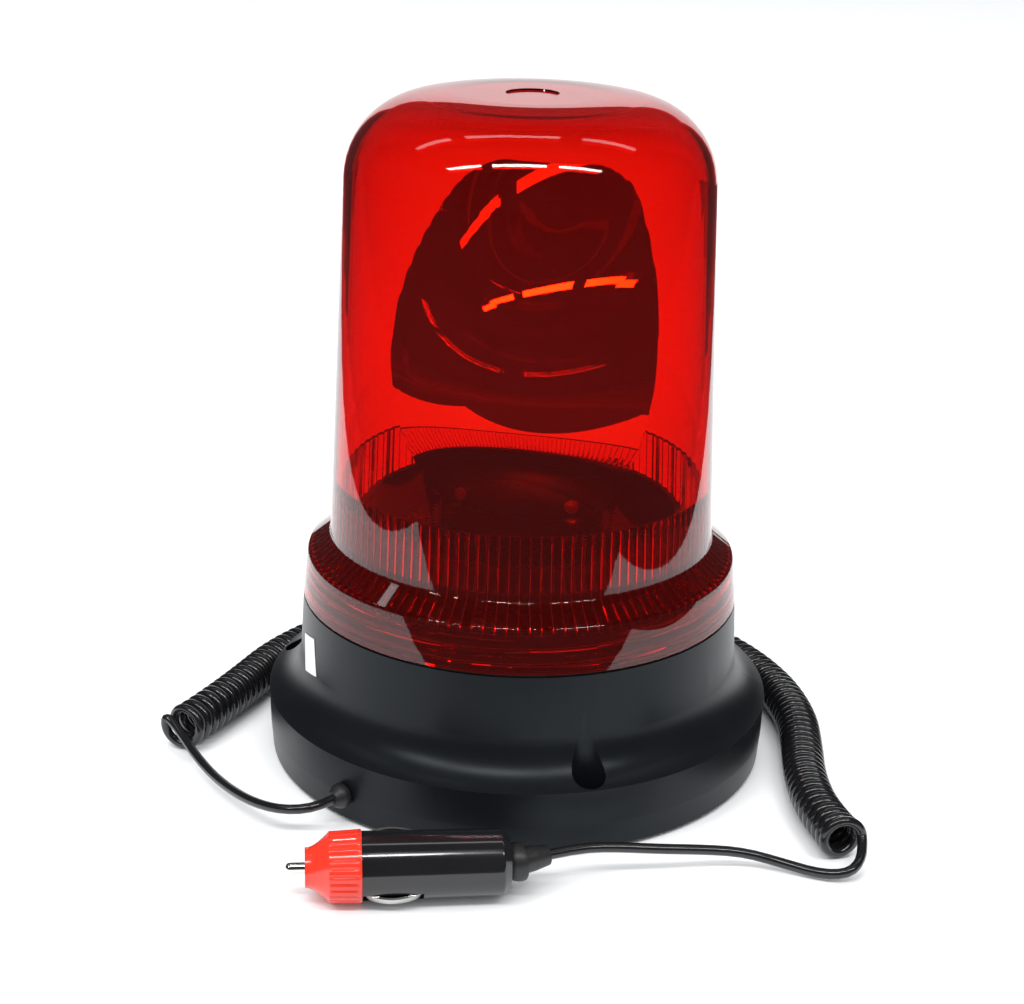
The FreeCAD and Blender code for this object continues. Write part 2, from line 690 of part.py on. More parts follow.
def make_motor_parts():
    can_z = deck_z - motor_l
    can = lathe([(0, can_z), (motor_r, can_z, 1.2), (motor_r, deck_z, 0.8), (motor_nose_r, deck_z),
                 (motor_nose_r, deck_z + motor_nose_h), (0, deck_z + motor_nose_h)])
    can = can.cut(rod(motor_shaft_r + running_gap, deck_z - motor_shaft_l - 1, floor_z + 1))
    can.translate(V(motor_x, motor_y, 0))
    for x, y in motor_screw_places():
        can = can.cut(rod(motor_screw_r + screw_gap, deck_z - 4, deck_z + 1, x, y))
    screws = [rod(motor_head_r, floor_z - motor_head_t, floor_z - face_gap, x, y).fuse(
        rod(motor_screw_r, deck_z - 3, floor_z - motor_head_t, x, y)).removeSplitter()
        for x, y in motor_screw_places()]
    cap = rod(motor_r - 0.6, can_z - motor_cap_t, can_z, motor_x, motor_y)
    tabs = [Part.makeBox(tab_t, tab_w, tab_l, V(motor_x + side * motor_r * 0.55, motor_y - tab_w / 2,
                                                can_z - motor_cap_t - tab_l)) for side in (-1, 1)]
    shaft_top = first_gear_z + first_gear_t + 0.4
    shaft = rod(motor_shaft_r, deck_z - motor_shaft_l, shaft_top, motor_x, motor_y)
    # A gap of the pinion faces the idler, whose large gear has a tooth on that line.
    phase = idler_azimuth - 90 + 180 / motor_teeth
    pinion = gear_body(motor_teeth, motor_module, phase, first_gear_z, first_gear_t, motor_x, motor_y)
    pinion = pinion.cut(rod(motor_shaft_r, first_gear_z - 1, shaft_top + 1, motor_x, motor_y))
    return {"motor_can": can, "motor_end_cap": cap, "motor_tabs": Part.makeCompound(tabs),
            "motor_screws": Part.makeCompound(screws), "motor_shaft": shaft, "motor_pinion": pinion}


def make_idler_parts():
    small_top = rotor_gear_z + rotor_gear_t + face_gap
    large = gear_body(idler_large_teeth, motor_module, idler_azimuth + 90, first_gear_z, first_gear_t,
                      idler_x, idler_y)
    # A gap of the small gear faces the beacon's axis, where the rotor gear has a tooth.
    small_phase = idler_azimuth + 180 + 180 / idler_small_teeth
    small = gear_body(idler_small_teeth, rotor_module, small_phase, first_gear_z + first_gear_t,
                      small_top - first_gear_z - first_gear_t, idler_x, idler_y)
    gear = large.fuse(small).removeSplitter()
    gear = gear.cut(rod(idler_axle_r + running_gap, first_gear_z - 1, small_top + 1, idler_x, idler_y))
    clip_z = small_top + face_gap
    axle = rod(idler_axle_r, deck_z - idler_axle_foot, clip_z + idler_clip_t + 0.5, idler_x, idler_y)
    clip = ring(idler_clip_r, idler_axle_r, clip_z, clip_z + idler_clip_t, idler_x, idler_y)
    return {"idler_gear": gear, "idler_axle": axle, "idler_clip": clip}


def reflector_screw_places():
    return [polar(rotor_boss_circle_r, reflector_turn + 90 + i * 120) for i in range(3)]


def make_rotor_gear():
    blank = gear_body(rotor_teeth, rotor_module, idler_azimuth, rotor_gear_z, rotor_gear_t)
    rim_in_r = rotor_module * (rotor_teeth / 2 - dedendum) - rotor_rim_t
    top_z = rotor_gear_z + rotor_gear_t
    blank = blank.cut(ring(rim_in_r, hub_r, top_z - web_recess, top_z + 1))
    bosses = [rod(rotor_boss_r, rotor_gear_z + 1, reflector_seat_z, x, y) for x, y in reflector_screw_places()]
    hub = rod(hub_r, floor_z + thrust_t + face_gap, reflector_seat_z)
    body = union([blank, hub] + bosses)
    body = body.cut(rod(hub_bore_r, floor_z, reflector_seat_z + 1))
    body = body.cut(rod(hub_r - hub_recess_wall, reflector_seat_z - hub_recess_h, reflector_seat_z + 1))
    for x, y in reflector_screw_places():
        body = body.cut(rod(rotor_hole_r, rotor_gear_z - 1, top_z + 1, -x, -y))
        body = body.cut(rod(reflector_screw_r + screw_gap, reflector_z - reflector_screw_l,
                            reflector_seat_z + 1, x, y))
    return body


def make_reflector():
    """A parabolic mirror about the lamp's filament, trimmed to a barrel outline, on a round foot."""
    def dish(back):
        # y = r^2 / (4 f) - f - back: a parabola is a curve with three poles, the middle one half way out.
        reach = reflector_top_h
        apex = -reflector_focus - back
        depth = apex + reach ** 2 / (4 * reflector_focus)
        curve = Part.BezierCurve()
        curve.setPoles([V(0, apex, 0), V(reach / 2, apex, 0), V(reach, depth, 0)])
        lid = Part.LineSegment(V(reach, depth, 0), V(0, depth, 0))
        stem = Part.LineSegment(V(0, depth, 0), V(0, apex, 0))
        section = Part.Face(Part.Wire([curve.toShape(), lid.toShape(), stem.toShape()]))
        solid = section.revolve(V(0, 0, 0), V(0, 1, 0), 360)
        solid.translate(V(0, 0, focus_z))
        return solid

    mid_z = reflector_seat_z + reflector_mid_h
    top_z = reflector_seat_z + reflector_top_h

    def half_width(z):
        r = reflector_side_radius
        return reflector_half_w - r + math.sqrt(r * r - (z - mid_z) ** 2)

    low_w, high_w = half_width(reflector_seat_z), half_width(top_z)
    clear_y = 2 * reflector_half_w    # the barrel is cut through all of the dish

    def place(a, b):
        return V(a, -clear_y, b)

    # The barrel's outline: two wide side arcs, closed by straight edges at the foot and at the top.
    right = Part.Arc(place(low_w, reflector_seat_z), place(reflector_half_w, mid_z), place(high_w, top_z))
    left = Part.Arc(place(-high_w, top_z), place(-reflector_half_w, mid_z), place(-low_w, reflector_seat_z))
    top = Part.LineSegment(place(high_w, top_z), place(-high_w, top_z))
    foot = Part.LineSegment(place(-low_w, reflector_seat_z), place(low_w, reflector_seat_z))
    outline = Part.Face(Part.Wire([right.toShape(), top.toShape(), left.toShape(), foot.toShape()]))
    barrel = outline.extrude(V(0, 2 * clear_y, 0))
    top_edges = [e for e in barrel.Edges if abs(e.BoundBox.ZMin - top_z) < 0.01
                 and abs(e.BoundBox.ZMax - top_z) < 0.01 and e.BoundBox.XLength < 0.01]
    barrel = barrel.makeFillet(reflector_corner_radius, top_edges)
    shell = dish(reflector_wall).cut(dish(0)).common(barrel)
    base = rod(reflector_foot_r, reflector_seat_z, reflector_z)
    body = shell.fuse(base).removeSplitter()
    body = body.cut(rod(reflector_foot_hole_r, reflector_seat_z - 1, reflector_seat_z + reflector_focus_h / 2))
    body = turned(body, reflector_turn)
    for x, y in reflector_screw_places():
        body = body.cut(rod(reflector_screw_r + screw_gap, reflector_seat_z - 1, reflector_z + 1, x, y))
    return body


def make_rotor_parts():
    screws = [rod(reflector_head_r, reflector_z, reflector_z + reflector_head_t, x, y).fuse(
        rod(reflector_screw_r, reflector_z - reflector_screw_l + 0.5, reflector_z, x, y)).removeSplitter()
        for x, y in reflector_screw_places()]
    return {"rotor_gear": make_rotor_gear(), "reflector": make_reflector(),
            "reflector_screws": Part.makeCompound(screws)}


def make_bearing_parts():
    washer = ring(hub_r - 0.5, hub_bore_r, floor_z, floor_z + thrust_t)
    retainer = ring(hub_r - hub_recess_wall - fit_gap, holder_r + running_gap, post_top_z,
                    post_top_z + retainer_t)
    return {"thrust_washer": washer, "rotor_retainer": retainer}


# ---- lamp ----------------------------------------------------------------------------------------
def make_lamp_parts():
    tube_in_r = holder_r - holder_wall
    holder = lathe([(contact_pin_r + 1, deck_z - holder_flange_t), (holder_flange_r, deck_z - holder_flange_t),
                    (holder_flange_r, deck_z), (holder_r, deck_z), (holder_r, holder_top_z),
                    (tube_in_r, holder_top_z), (tube_in_r, deck_z), (contact_pin_r + 1, deck_z)])
    pin_z = holder_top_z - bulb_pin_drop
    slot_w = 2 * (bulb_pin_r + slot_gap)
    slot = Part.makeBox(4 * holder_r, slot_w, bulb_pin_drop + slot_w / 2 + 1,
                        V(-2 * holder_r, -slot_w / 2, pin_z - slot_w / 2))
    holder = holder.cut(slot)
    for x, y in rivet_places():
        holder = holder.cut(rod(rivet_r, deck_z - 2, deck_z + 1, x, y))
    rivets = [rod(rivet_r, deck_z - holder_flange_t, floor_z, x, y).fuse(
        rod(rivet_r + 0.7, deck_z - holder_flange_t - 0.7, deck_z - holder_flange_t, x, y)).removeSplitter()
        for x, y in rivet_places()]
    cap_top = holder_top_z + 1.0
    cap_z = cap_top - bulb_cap_l
    cap = union([rod(bulb_cap_r, cap_z, cap_top), rod(2.2, cap_z - 1.0, cap_z),
                 Part.makeCylinder(bulb_pin_r, 2 * bulb_pin_reach, V(-bulb_pin_reach, 0, pin_z), V(1, 0, 0))])
    disc_z = cap_z - contact_drop - contact_disc_t
    disc = ring(tube_in_r - face_gap, contact_pin_r, disc_z, disc_z + contact_disc_t)
    spring = ring(contact_spring_r, contact_spring_r - contact_spring_t, deck_z, disc_z)
    pin = rod(contact_pin_r, deck_z - 2.5, cap_z - 1.0)
    throat_z = cap_top + 7
    globe_z = focus_z
    crown = globe_z + bulb_globe_r
    side = bulb_globe_r
    outside = [(bulb_neck_r, cap_top), (bulb_neck_r, throat_z, 9.0), (side, globe_z - 7, 8.0),
               (side, crown, side - 0.4), (0, crown)]
    inside = inset(outside, glass_t)
    glass = lathe([(0, cap_top)] + outside).cut(lathe([(0, cap_top + glass_t)] +
                                                     [(inside[0][0], cap_top + glass_t)] + inside[1:]))
    posts = [rod(filament_post_r, cap_top + glass_t, globe_z, side * filament_l / 2, 0) for side in (-1, 1)]
    coil = Part.makeCylinder(filament_r, filament_l, V(-filament_l / 2, 0, globe_z), V(1, 0, 0))
    bead = Part.makeBox(filament_l + 2, 2.4, 2.0, V(-filament_l / 2 - 1, -1.2, cap_top + glass_t + 5))
    filament = union(posts + [coil, bead])
    return {"lamp_holder": holder, "holder_rivets": Part.makeCompound(rivets), "bulb_cap": cap,
            "contact_disc": disc, "contact_spring": spring, "contact_pin": pin,
            "bulb_glass": glass, "filament": filament}


# ---- wiring --------------------------------------------------------------------------------------
def gland_point(distance, z=split_z):
    x, y = polar(distance, gland_azimuth)
    return (x, y, z)


def make_gland():
    inner = foot_in_r - fit_gap
    neck = gland_hole_r - fit_gap / 2
    out = crease_r + fit_gap
    end = out + gland_head_l
    bore = cord_d / 2
    # Drawn about the vertical axis, with height as distance, then laid along its own axis.
    body = lathe([(bore, inner - gland_flange_t), (gland_flange_r, inner - gland_flange_t, 0.5),
                  (gland_flange_r, inner), (neck, inner), (neck, out), (gland_head_r, out, 0.6),
                  (gland_head_r, out + gland_head_l * 0.45, 2.2), (gland_tip_r, end), (bore, end)])
    body.rotate(V(0, 0, 0), V(0, 1, 0), 90)
    body.translate(V(0, 0, split_z))
    flat = Part.makeBox(inner, 4 * gland_flange_r, 2 * gland_flange_r,
                        V(0, -2 * gland_flange_r, split_z - gland_trough - 2 * gland_flange_r))
    return turned(body.cut(flat), gland_azimuth), end


def make_terminal_block():
    x, y = polar(terminal_circle_r, terminal_azimuth)
    block = Part.makeBox(terminal_l, terminal_w, terminal_h,
                         V(x - terminal_l / 2, y - terminal_w / 2, split_z))
    for side in (-1, 1):
        block = block.cut(rod(terminal_hole_r, split_z + terminal_h - terminal_hole_depth,
                              split_z + terminal_h + cut_past,
                              x + side * terminal_l / 4, y))
    return block, x, y


def make_wiring():
    gland, exit_at = make_gland()
    block, bx, by = make_terminal_block()
    entry_z = split_z + terminal_h / 2
    supply = tube([gland_point(exit_at), gland_point(exit_at - gland_inner_run),
                   gland_point(exit_at - gland_inner_run - supply_run, entry_z),
                   (bx, by - terminal_w / 2 - supply_run, entry_z), (bx, by - terminal_w / 2, entry_z)],
                  cord_d, "supply_lead")
    can_foot = deck_z - motor_l - motor_cap_t - tab_l
    top = entry_z + 2
    motor_wires = []
    for side in (-1, 1):
        tx = motor_x + side * motor_r * 0.55 + tab_t / 2
        start_x = bx + side * motor_wire_gap / 2
        motor_wires.append(tube([(start_x, by + terminal_w / 2, top),
                                 (start_x, by + terminal_w / 2 + motor_wire_run, top),
                                 (tx, motor_y, can_foot - motor_wire_run), (tx, motor_y, can_foot)],
                                wire_d, "motor_wire"))
    lamp = tube([(bx + terminal_l / 2, by, entry_z), (bx + terminal_l / 2 + lamp_wire_run, by, entry_z),
                 (-wire_d, -wire_d, entry_z + lamp_wire_rise), (0, 0, deck_z - lamp_wire_run - 2.0),
                 (0, 0, deck_z - 2.5)], wire_d, "lamp_wire")
    lead_a = tube([gland_point(exit_at), gland_point(exit_at + lead_run)] + LEAD_A_ROUTE, cord_d,
                  "lead_to_beacon")
    coil = tube([(x, y, coil_z) for x, y in COIL_ROUTE], coil_d, "curly_cord")
    return {"cord_gland": gland, "terminal_block": block, "supply_lead": supply,
            "motor_wires": Part.makeCompound(motor_wires), "lamp_wire": lamp,
            "lead_to_beacon": lead_a, "curly_cord": coil}


# ---- plug ----------------------------------------------------------------------------------------
# Drawn along +X from its cord end, then rolled, turned and set down beside the base.
def along(points):
    """A closed outline of (distance along the plug, radius) points turned about the plug's axis."""
    face = Part.Face(rounded_wire(points, lambda a, b: V(a, 0, b)))
    return face.revolve(V(0, 0, 0), V(1, 0, 0), 360)


def lay_plug(shape):
    shape.rotate(V(0, 0, 0), V(1, 0, 0), plug_roll)
    shape.rotate(V(0, 0, 0), UP, plug_azimuth)
    shape.translate(V(plug_body_end[0], plug_body_end[1], plug_axis_z))
    return shape


def plug_pin(r, x0, x1):
    return Part.makeCylinder(r, x1 - x0, V(x0, 0, 0), V(1, 0, 0))


def side_contact(side):
    """A bowed strip: two concentric arcs, standing proud of the plug's side."""
    middle = plug_body_l - contact_l / 2 - contact_back
    crest = plug_body_r + contact_bulge
    half = contact_l / 2

    def bow(height, reach):
        return Part.Arc(V(middle - reach, side * (height - contact_rise), 0), V(middle, side * height, 0),
                        V(middle + reach, side * (height - contact_rise), 0)).toShape()

    upper, lower = bow(crest, half), bow(crest - contact_t, half - contact_t / 2)
    ends = [Part.LineSegment(upper.Vertexes[i].Point, lower.Vertexes[i].Point).toShape() for i in (0, 1)]
    face = Part.Face(Part.Wire(Part.__sortEdges__([upper, ends[1], lower, ends[0]])))
    strip = face.extrude(V(0, 0, contact_w))
    strip.translate(V(0, 0, -contact_w / 2))
    return strip


def make_plug_parts():
    bore_r = fuse_r + fit_gap
    stop = plug_body_l      # the body's mouth, where the nose screws on
    body = along([(0, 0), (0, plug_body_end_r - plug_bevel), (plug_bevel, plug_body_end_r, 1.0),
                  (stop, plug_body_r), (stop, plug_thread_r), (stop + plug_thread_l, plug_thread_r),
                  (stop + plug_thread_l, 0)])
    fuse_x = stop + plug_thread_l - fuse_front_gap - fuse_l
    body = body.cut(plug_pin(bore_r, fuse_x, stop + plug_thread_l + 1))
    body = body.cut(plug_pin(cord_d / 2 + plug_cord_gap, plug_bevel, fuse_x + cut_past))
    body = body.cut(Part.makeSphere(boot_ball_r + face_gap, V(-boot_ball_r * boot_seat, 0, 0)))
    slot_w = contact_w + 2 * fit_gap
    slot_low = plug_body_r + contact_bulge - contact_rise - contact_t - contact_travel - contact_bed_gap
    for side in (-1, 1):
        low = slot_low if side > 0 else -plug_body_r - contact_l
        body = body.cut(Part.makeBox(contact_l + 2 * contact_end_gap, plug_body_r + contact_l - slot_low,
                                     slot_w, V(stop - contact_back - contact_l - contact_end_gap, low,
                                               -slot_w / 2)))
    nose_front = stop + plug_collar_l + plug_nose_l
    collar_end = stop + plug_collar_l
    hollow_x = (collar_end + nose_front) / 2 + plug_nose_sag / 2
    hollow_r = (plug_collar_front_r + plug_nose_r) / 2 - plug_nose_sag
    points = [(stop + face_gap, plug_thread_r + fit_gap), (stop + face_gap, plug_collar_r),
              (collar_end, plug_collar_front_r)]
    front = [(nose_front, plug_nose_r), (nose_front, tip_r + fit_gap)]
    chamber_end = nose_front - plug_nose_wall
    back = [(chamber_end, tip_r + fit_gap), (chamber_end, plug_thread_r + fit_gap)]

    def place(p):
        return V(p[0], 0, p[1])

    edges = [Part.makePolygon([place(p) for p in points]),
             Part.Wire([Part.Arc(place(points[-1]), V(hollow_x, 0, hollow_r), place(front[0])).toShape()]),
             Part.makePolygon([place(p) for p in front + back + points[:1]])]
    nose = Part.Face(Part.Wire([e for w in edges for e in w.Edges])).revolve(V(0, 0, 0), V(1, 0, 0), 360)
    flange_x = chamber_end - tip_flange_t - face_gap
    tip_end = nose_front + tip_reach
    tip = plug_pin(tip_r, flange_x, tip_end - tip_r).fuse(
        Part.makeSphere(tip_r, V(tip_end - tip_r, 0, 0))).fuse(
        plug_pin(tip_flange_r, flange_x, flange_x + tip_flange_t)).removeSplitter()
    fuse_front = fuse_x + fuse_l
    glass = along([(fuse_x + fuse_cap_l, 0), (fuse_x + fuse_cap_l, fuse_r - fuse_cap_t),
                   (fuse_front - fuse_cap_l, fuse_r - fuse_cap_t), (fuse_front - fuse_cap_l, 0)])
    caps = [plug_pin(fuse_r, fuse_x, fuse_x + fuse_cap_l),
            plug_pin(fuse_r, fuse_front - fuse_cap_l, fuse_front)]
    spring = plug_pin(fuse_r, fuse_front, flange_x - tip_travel - face_gap).cut(
        plug_pin(fuse_r - plug_spring_t, fuse_front - 1, flange_x + 1))
    parts = {"plug_body": body, "plug_nose": nose, "plug_tip": tip, "fuse_glass": glass,
             "fuse_caps": Part.makeCompound(caps), "plug_spring": spring,
             "plug_contact_front": side_contact(1), "plug_contact_back": side_contact(-1)}
    boot_start = -boot_ball_r * boot_seat
    boot = along([(boot_start, 0), (boot_start, boot_r), (0, boot_r), (-boot_l * boot_taper_at, boot_r * boot_taper, 1.2),
                  (-boot_l, boot_tip_r), (-boot_l, 0)])
    ball = Part.makeSphere(boot_ball_r, V(boot_start, 0, 0)).common(
        Part.makeBox(2 * boot_ball_r, 2 * boot_ball_r, 2 * boot_ball_r,
                     V(boot_start - boot_ball_r * 0.1, -boot_ball_r, -boot_ball_r)))
    boot = boot.fuse(ball).removeSplitter()
    parts = {name: lay_plug(shape) for name, shape in parts.items()}
    parts["plug_boot"] = turned(lay_plug(boot), boot_turn, V(*boot_point(-boot_start)))
    return parts


def boot_point(distance):
    """A point on the axis of the boot, at a distance from the body's cord end."""
    ball = boot_ball_r * boot_seat
    x, y = polar(-min(distance, ball), plug_azimuth)
    dx, dy = polar(-max(distance - ball, 0), plug_azimuth + boot_turn)
    return (plug_body_end[0] + x + dx, plug_body_end[1] + y + dy, plug_axis_z)


def main():
    parts = {"housing": make_housing(), "bottom_cover": make_bottom_cover(),
             "cover_screws": make_cover_screws(), "lens_gasket": make_gasket(), "lens": make_lens(),
             "deck": make_deck(), "deck_screws": make_deck_screws()}
    for group in (make_magnet_parts, make_motor_parts, make_idler_parts, make_rotor_parts,
                  make_bearing_parts, make_lamp_parts, make_wiring, make_plug_parts):
        parts.update(group())
    parts["lead_to_plug"] = tube(LEAD_B_ROUTE + [boot_point(boot_l + lead_run * 1.5), boot_point(boot_l)],
                                 cord_d, "lead_to_plug")
    os.makedirs("parts", exist_ok=True)
    for name, shape in parts.items():
        shape.exportStep("parts/%s.step" % name)
        print(name, "solids", len(shape.Solids), "valid", shape.isValid(), "volume %.1f" % shape.Volume)


main()
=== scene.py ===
"""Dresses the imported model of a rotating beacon.

It makes the dome, mirror, lamp, cord, plug collar and label, the finishes and the stage."""
import json
import math

import bmesh
import bpy
import numpy as np
from mathutils import Matrix, Vector


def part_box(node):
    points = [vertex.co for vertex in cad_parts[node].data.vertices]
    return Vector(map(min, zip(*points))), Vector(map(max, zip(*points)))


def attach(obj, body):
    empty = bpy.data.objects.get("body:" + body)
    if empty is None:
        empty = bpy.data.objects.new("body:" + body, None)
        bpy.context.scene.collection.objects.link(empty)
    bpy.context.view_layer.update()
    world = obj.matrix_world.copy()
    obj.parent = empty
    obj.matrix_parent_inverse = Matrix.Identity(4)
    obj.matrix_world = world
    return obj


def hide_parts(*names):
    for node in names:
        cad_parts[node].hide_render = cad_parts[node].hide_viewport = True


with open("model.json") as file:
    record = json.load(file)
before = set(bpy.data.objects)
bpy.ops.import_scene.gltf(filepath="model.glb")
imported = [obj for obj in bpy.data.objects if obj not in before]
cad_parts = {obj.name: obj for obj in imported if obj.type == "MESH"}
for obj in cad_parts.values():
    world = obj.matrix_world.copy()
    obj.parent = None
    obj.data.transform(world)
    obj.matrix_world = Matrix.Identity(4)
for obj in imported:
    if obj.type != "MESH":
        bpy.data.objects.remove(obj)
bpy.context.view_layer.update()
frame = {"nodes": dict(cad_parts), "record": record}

bl_info = {
    "name": "Rotating beacon dresser",
    "version": (1, 0, 0),
    "blender": (4, 5, 0),
    "location": "View3D > Sidebar > Beacon",
    "description": "Builds the visible pieces of a rotating beacon over its frame",
    "category": "Object",
}

TAU = 2 * math.pi

# Where the plug lies: the centre of its body's cord end, its height, and the way it points.
PLUG_END = (-0.0006, -0.1003)
PLUG_HEIGHT = 0.0105
PLUG_AZIMUTH = math.radians(186.4)

# The boot bends by an angle at its ball. The ball's distance and the boot's length are measured
# from the body's cord end.
BOOT_BEND = math.radians(20)
BOOT_BALL = 0.00252
BOOT_LENGTH = 0.0115

# The routes of the cord, in metres: the lead from the gland, the coil's axis and the lead to the plug.
LEAD_A_ROUTE = [(-0.0680, -0.0706, 0.0084), (-0.0773, -0.0632, 0.0064), (-0.0858, -0.0530, 0.0049),
                (-0.0936, -0.0420, 0.0044), (-0.1004, -0.0316, 0.0056), (-0.1055, -0.0230, 0.0075),
                (-0.1099, -0.0168, 0.0095)]
COIL_ROUTE = [(-0.1073, -0.0182), (-0.0992, -0.0015), (-0.0916, 0.0165), (-0.0825, 0.0410),
              (-0.0640, 0.0660), (-0.0385, 0.0836), (-0.0085, 0.0918), (0.0220, 0.0894),
              (0.0505, 0.0772), (0.0735, 0.0555), (0.0875, 0.0285), (0.0926, 0.0030),
              (0.0916, -0.0180), (0.0902, -0.0380), (0.0912, -0.0550), (0.0942, -0.0675),
              (0.0969, -0.0772)]
LEAD_B_ROUTE = [(0.1014, -0.0840, 0.0052), (0.0974, -0.0893, 0.0032), (0.0894, -0.0880, 0.0019),
                (0.0788, -0.0834, 0.0026), (0.0675, -0.0816, 0.0049), (0.0555, -0.0834, 0.0064),
                (0.0430, -0.0864, 0.0079), (0.0305, -0.0884, 0.0093)]


# ---- sizes and colours a user would change -------------------------------------------------------
def length(name, default, description):
    """A length property, in metres."""
    return bpy.props.FloatProperty(name=name, description=description, default=default, min=0,
                                   precision=5, unit="LENGTH", subtype="DISTANCE")


def colour(name, default, description):
    """A colour property, linear."""
    return bpy.props.FloatVectorProperty(name=name, description=description, default=default,
                                         size=3, min=0, max=1, subtype="COLOR")


class BeaconCordSizes(bpy.types.PropertyGroup):
    """Sizes of the curly cord."""
    diameter: length("Cord diameter", 0.003, "Outside of the cord's jacket")
    left_radius: length("Turn radius, left", 0.0057, "Centre line of the turns at the gland's end")
    right_radius: length("Turn radius, right", 0.0053, "Centre line of the turns at the plug's end")
    pitch: length("Pitch", 0.0035, "Distance between neighbouring turns")
    end_pitch: length("End pitch", 0.0049, "Distance between the first turns, which are pulled open")
    points_per_turn: bpy.props.IntProperty(name="Points per turn", default=14, min=12, max=24,
                                           description="Control points for each turn")
    gland_azimuth: bpy.props.FloatProperty(name="Gland azimuth", default=math.radians(230.4),
                                           subtype="ANGLE", description="Where the cord leaves the base")
    gland_reach: length("Gland reach", 0.08485, "From the beacon's axis to the gland's tip")
    gland_height: length("Gland height", 0.0095, "Height of the gland's axis")
    lead_run: length("Straight run", 0.007, "Straight length as the lead leaves the gland")
    boot_run: length("Straight run at the boot", 0.0105, "Straight length as the lead enters the boot")
    boot_entry: length("Length in the boot", 0.002, "How far the lead's end reaches into the boot")


class BeaconLensSizes(bpy.types.PropertyGroup):
    """Sizes of the clear dome."""
    wall: length("Wall", 0.0025, "Thickness of the moulding")
    foot: length("Foot height", 0.0534, "Height of the lower edge")
    rim_height: length("Rim height", 0.0671, "Height of the flange's upper edge")
    shoulder_height: length("Shoulder height", 0.0728, "Where the shoulder meets the dome's wall")
    top_height: length("Top corner height", 0.2059, "Where wall and crown lines meet")
    crown_height: length("Crown height", 0.2098, "Highest point")
    foot_radius: length("Foot radius", 0.0687, "Outside of the flange's lower edge")
    rim_radius: length("Rim radius", 0.0673, "Outside of the flange's upper edge")
    wall_radius: length("Wall foot radius", 0.0602, "Outside of the dome's wall at its foot")
    top_radius: length("Top radius", 0.0549, "Outside of the dome's wall at its top")
    crown_radius: length("Crown flat radius", 0.027, "Where the crown starts to fall")
    corner: length("Top corner radius", 0.025, "Round between wall and crown")
    rib_count: bpy.props.IntProperty(name="Ribs", default=120, min=12,
                                     description="Prism ribs inside the foot")
    rib_depth: length("Rib depth", 0.0008, "Height of a rounded rib")
    mark_radius: length("Gate mark radius", 0.0080, "Shallow round recess in the crown")
    mark_depth: length("Gate mark depth", 0.0006, "Depth of that recess")
    rib_height: length("Rib height", 0.019, "Length of the ribs up the wall")
    thread_pitch: length("Thread pitch", 0.0045, "Rise of the thread in one turn")
    thread_depth: length("Thread depth", 0.0007, "Height of the thread's ridge")


class BeaconMirrorSizes(bpy.types.PropertyGroup):
    """Sizes of the turning mirror."""
    focus: length("Focal length", 0.024, "From the mirror's apex to the lamp's filament")
    focus_height: length("Focus height", 0.118, "Height of the filament")
    wall: length("Wall", 0.0016, "Thickness of the mirror")
    half_width: length("Half width", 0.042, "Half of the widest part")
    widest_height: length("Widest height", 0.131, "Height of the widest part")
    side_radius: length("Side radius", 0.088, "Radius of the barrel's sides")
    low: length("Foot height", 0.078, "Underside of the mirror's foot")
    high: length("Top height", 0.186, "Top of the mirror")
    corner: length("Corner radius", 0.009, "Round at the top corners")
    foot_radius: length("Foot radius", 0.026, "Round foot on the gear")
    foot_hole: length("Foot hole", 0.010, "Clears the lamp holder")
    foot_thickness: length("Foot thickness", 0.002, "Thickness of the round foot")
    turn: bpy.props.FloatProperty(name="Rest turn", default=math.radians(-15), subtype="ANGLE",
                                  description="Where the mirror stands at rest")


class BeaconCollarSizes(bpy.types.PropertyGroup):
    """Sizes of the plug's fluted collar and nose."""
    body_length: length("Body length", 0.0417, "From the body's cord end to the collar")
    collar_length: length("Collar length", 0.0091, "Length of the fluted band")
    collar_radius: length("Collar radius", 0.0103, "At the body")
    collar_front: length("Collar front radius", 0.0099, "Where the hollow curve starts")
    nose_length: length("Nose length", 0.0067, "From the collar to the front face")
    nose_radius: length("Nose radius", 0.0057, "Of the front face")
    tip_hole: length("Tip hole", 0.00185, "Radius of the hole for the tip")
    thread_radius: length("Thread radius", 0.00745, "Inside of the collar")
    thread_length: length("Thread length", 0.0072, "Depth of the wide bore past the body")
    chamber_radius: length("Chamber radius", 0.00335, "Narrow bore that the tip's flange slides in")
    flutes: bpy.props.IntProperty(name="Flutes", default=28, min=6,
                                  description="Grooves round the collar")
    flute_depth: length("Flute depth", 0.00035, "Depth of a groove")


class BeaconLabelSizes(bpy.types.PropertyGroup):
    """Sizes of the bare label on the neck."""
    foot: length("Foot height", 0.0327, "Height of the label's lower edge")
    height: length("Height", 0.0113, "Height of the label")
    rise: length("Rise", 0.0012, "How far each side edge is raised or lowered")
    azimuth: bpy.props.FloatProperty(name="Azimuth", default=math.radians(202.8), subtype="ANGLE",
                                     description="Where the label's lower edge is centred")
    half_angle: bpy.props.FloatProperty(name="Half angle", default=math.radians(4.4), subtype="ANGLE",
                                        description="Half of the angle that the label covers")
    slant: bpy.props.FloatProperty(name="Slant", default=math.radians(2.6), subtype="ANGLE",
                                   description="How far the upper edge is turned back")
    paper: length("Paper", 0.00016, "Thickness of the label")
    lift: length("Lift", 0.00022, "From the neck to the label's face")


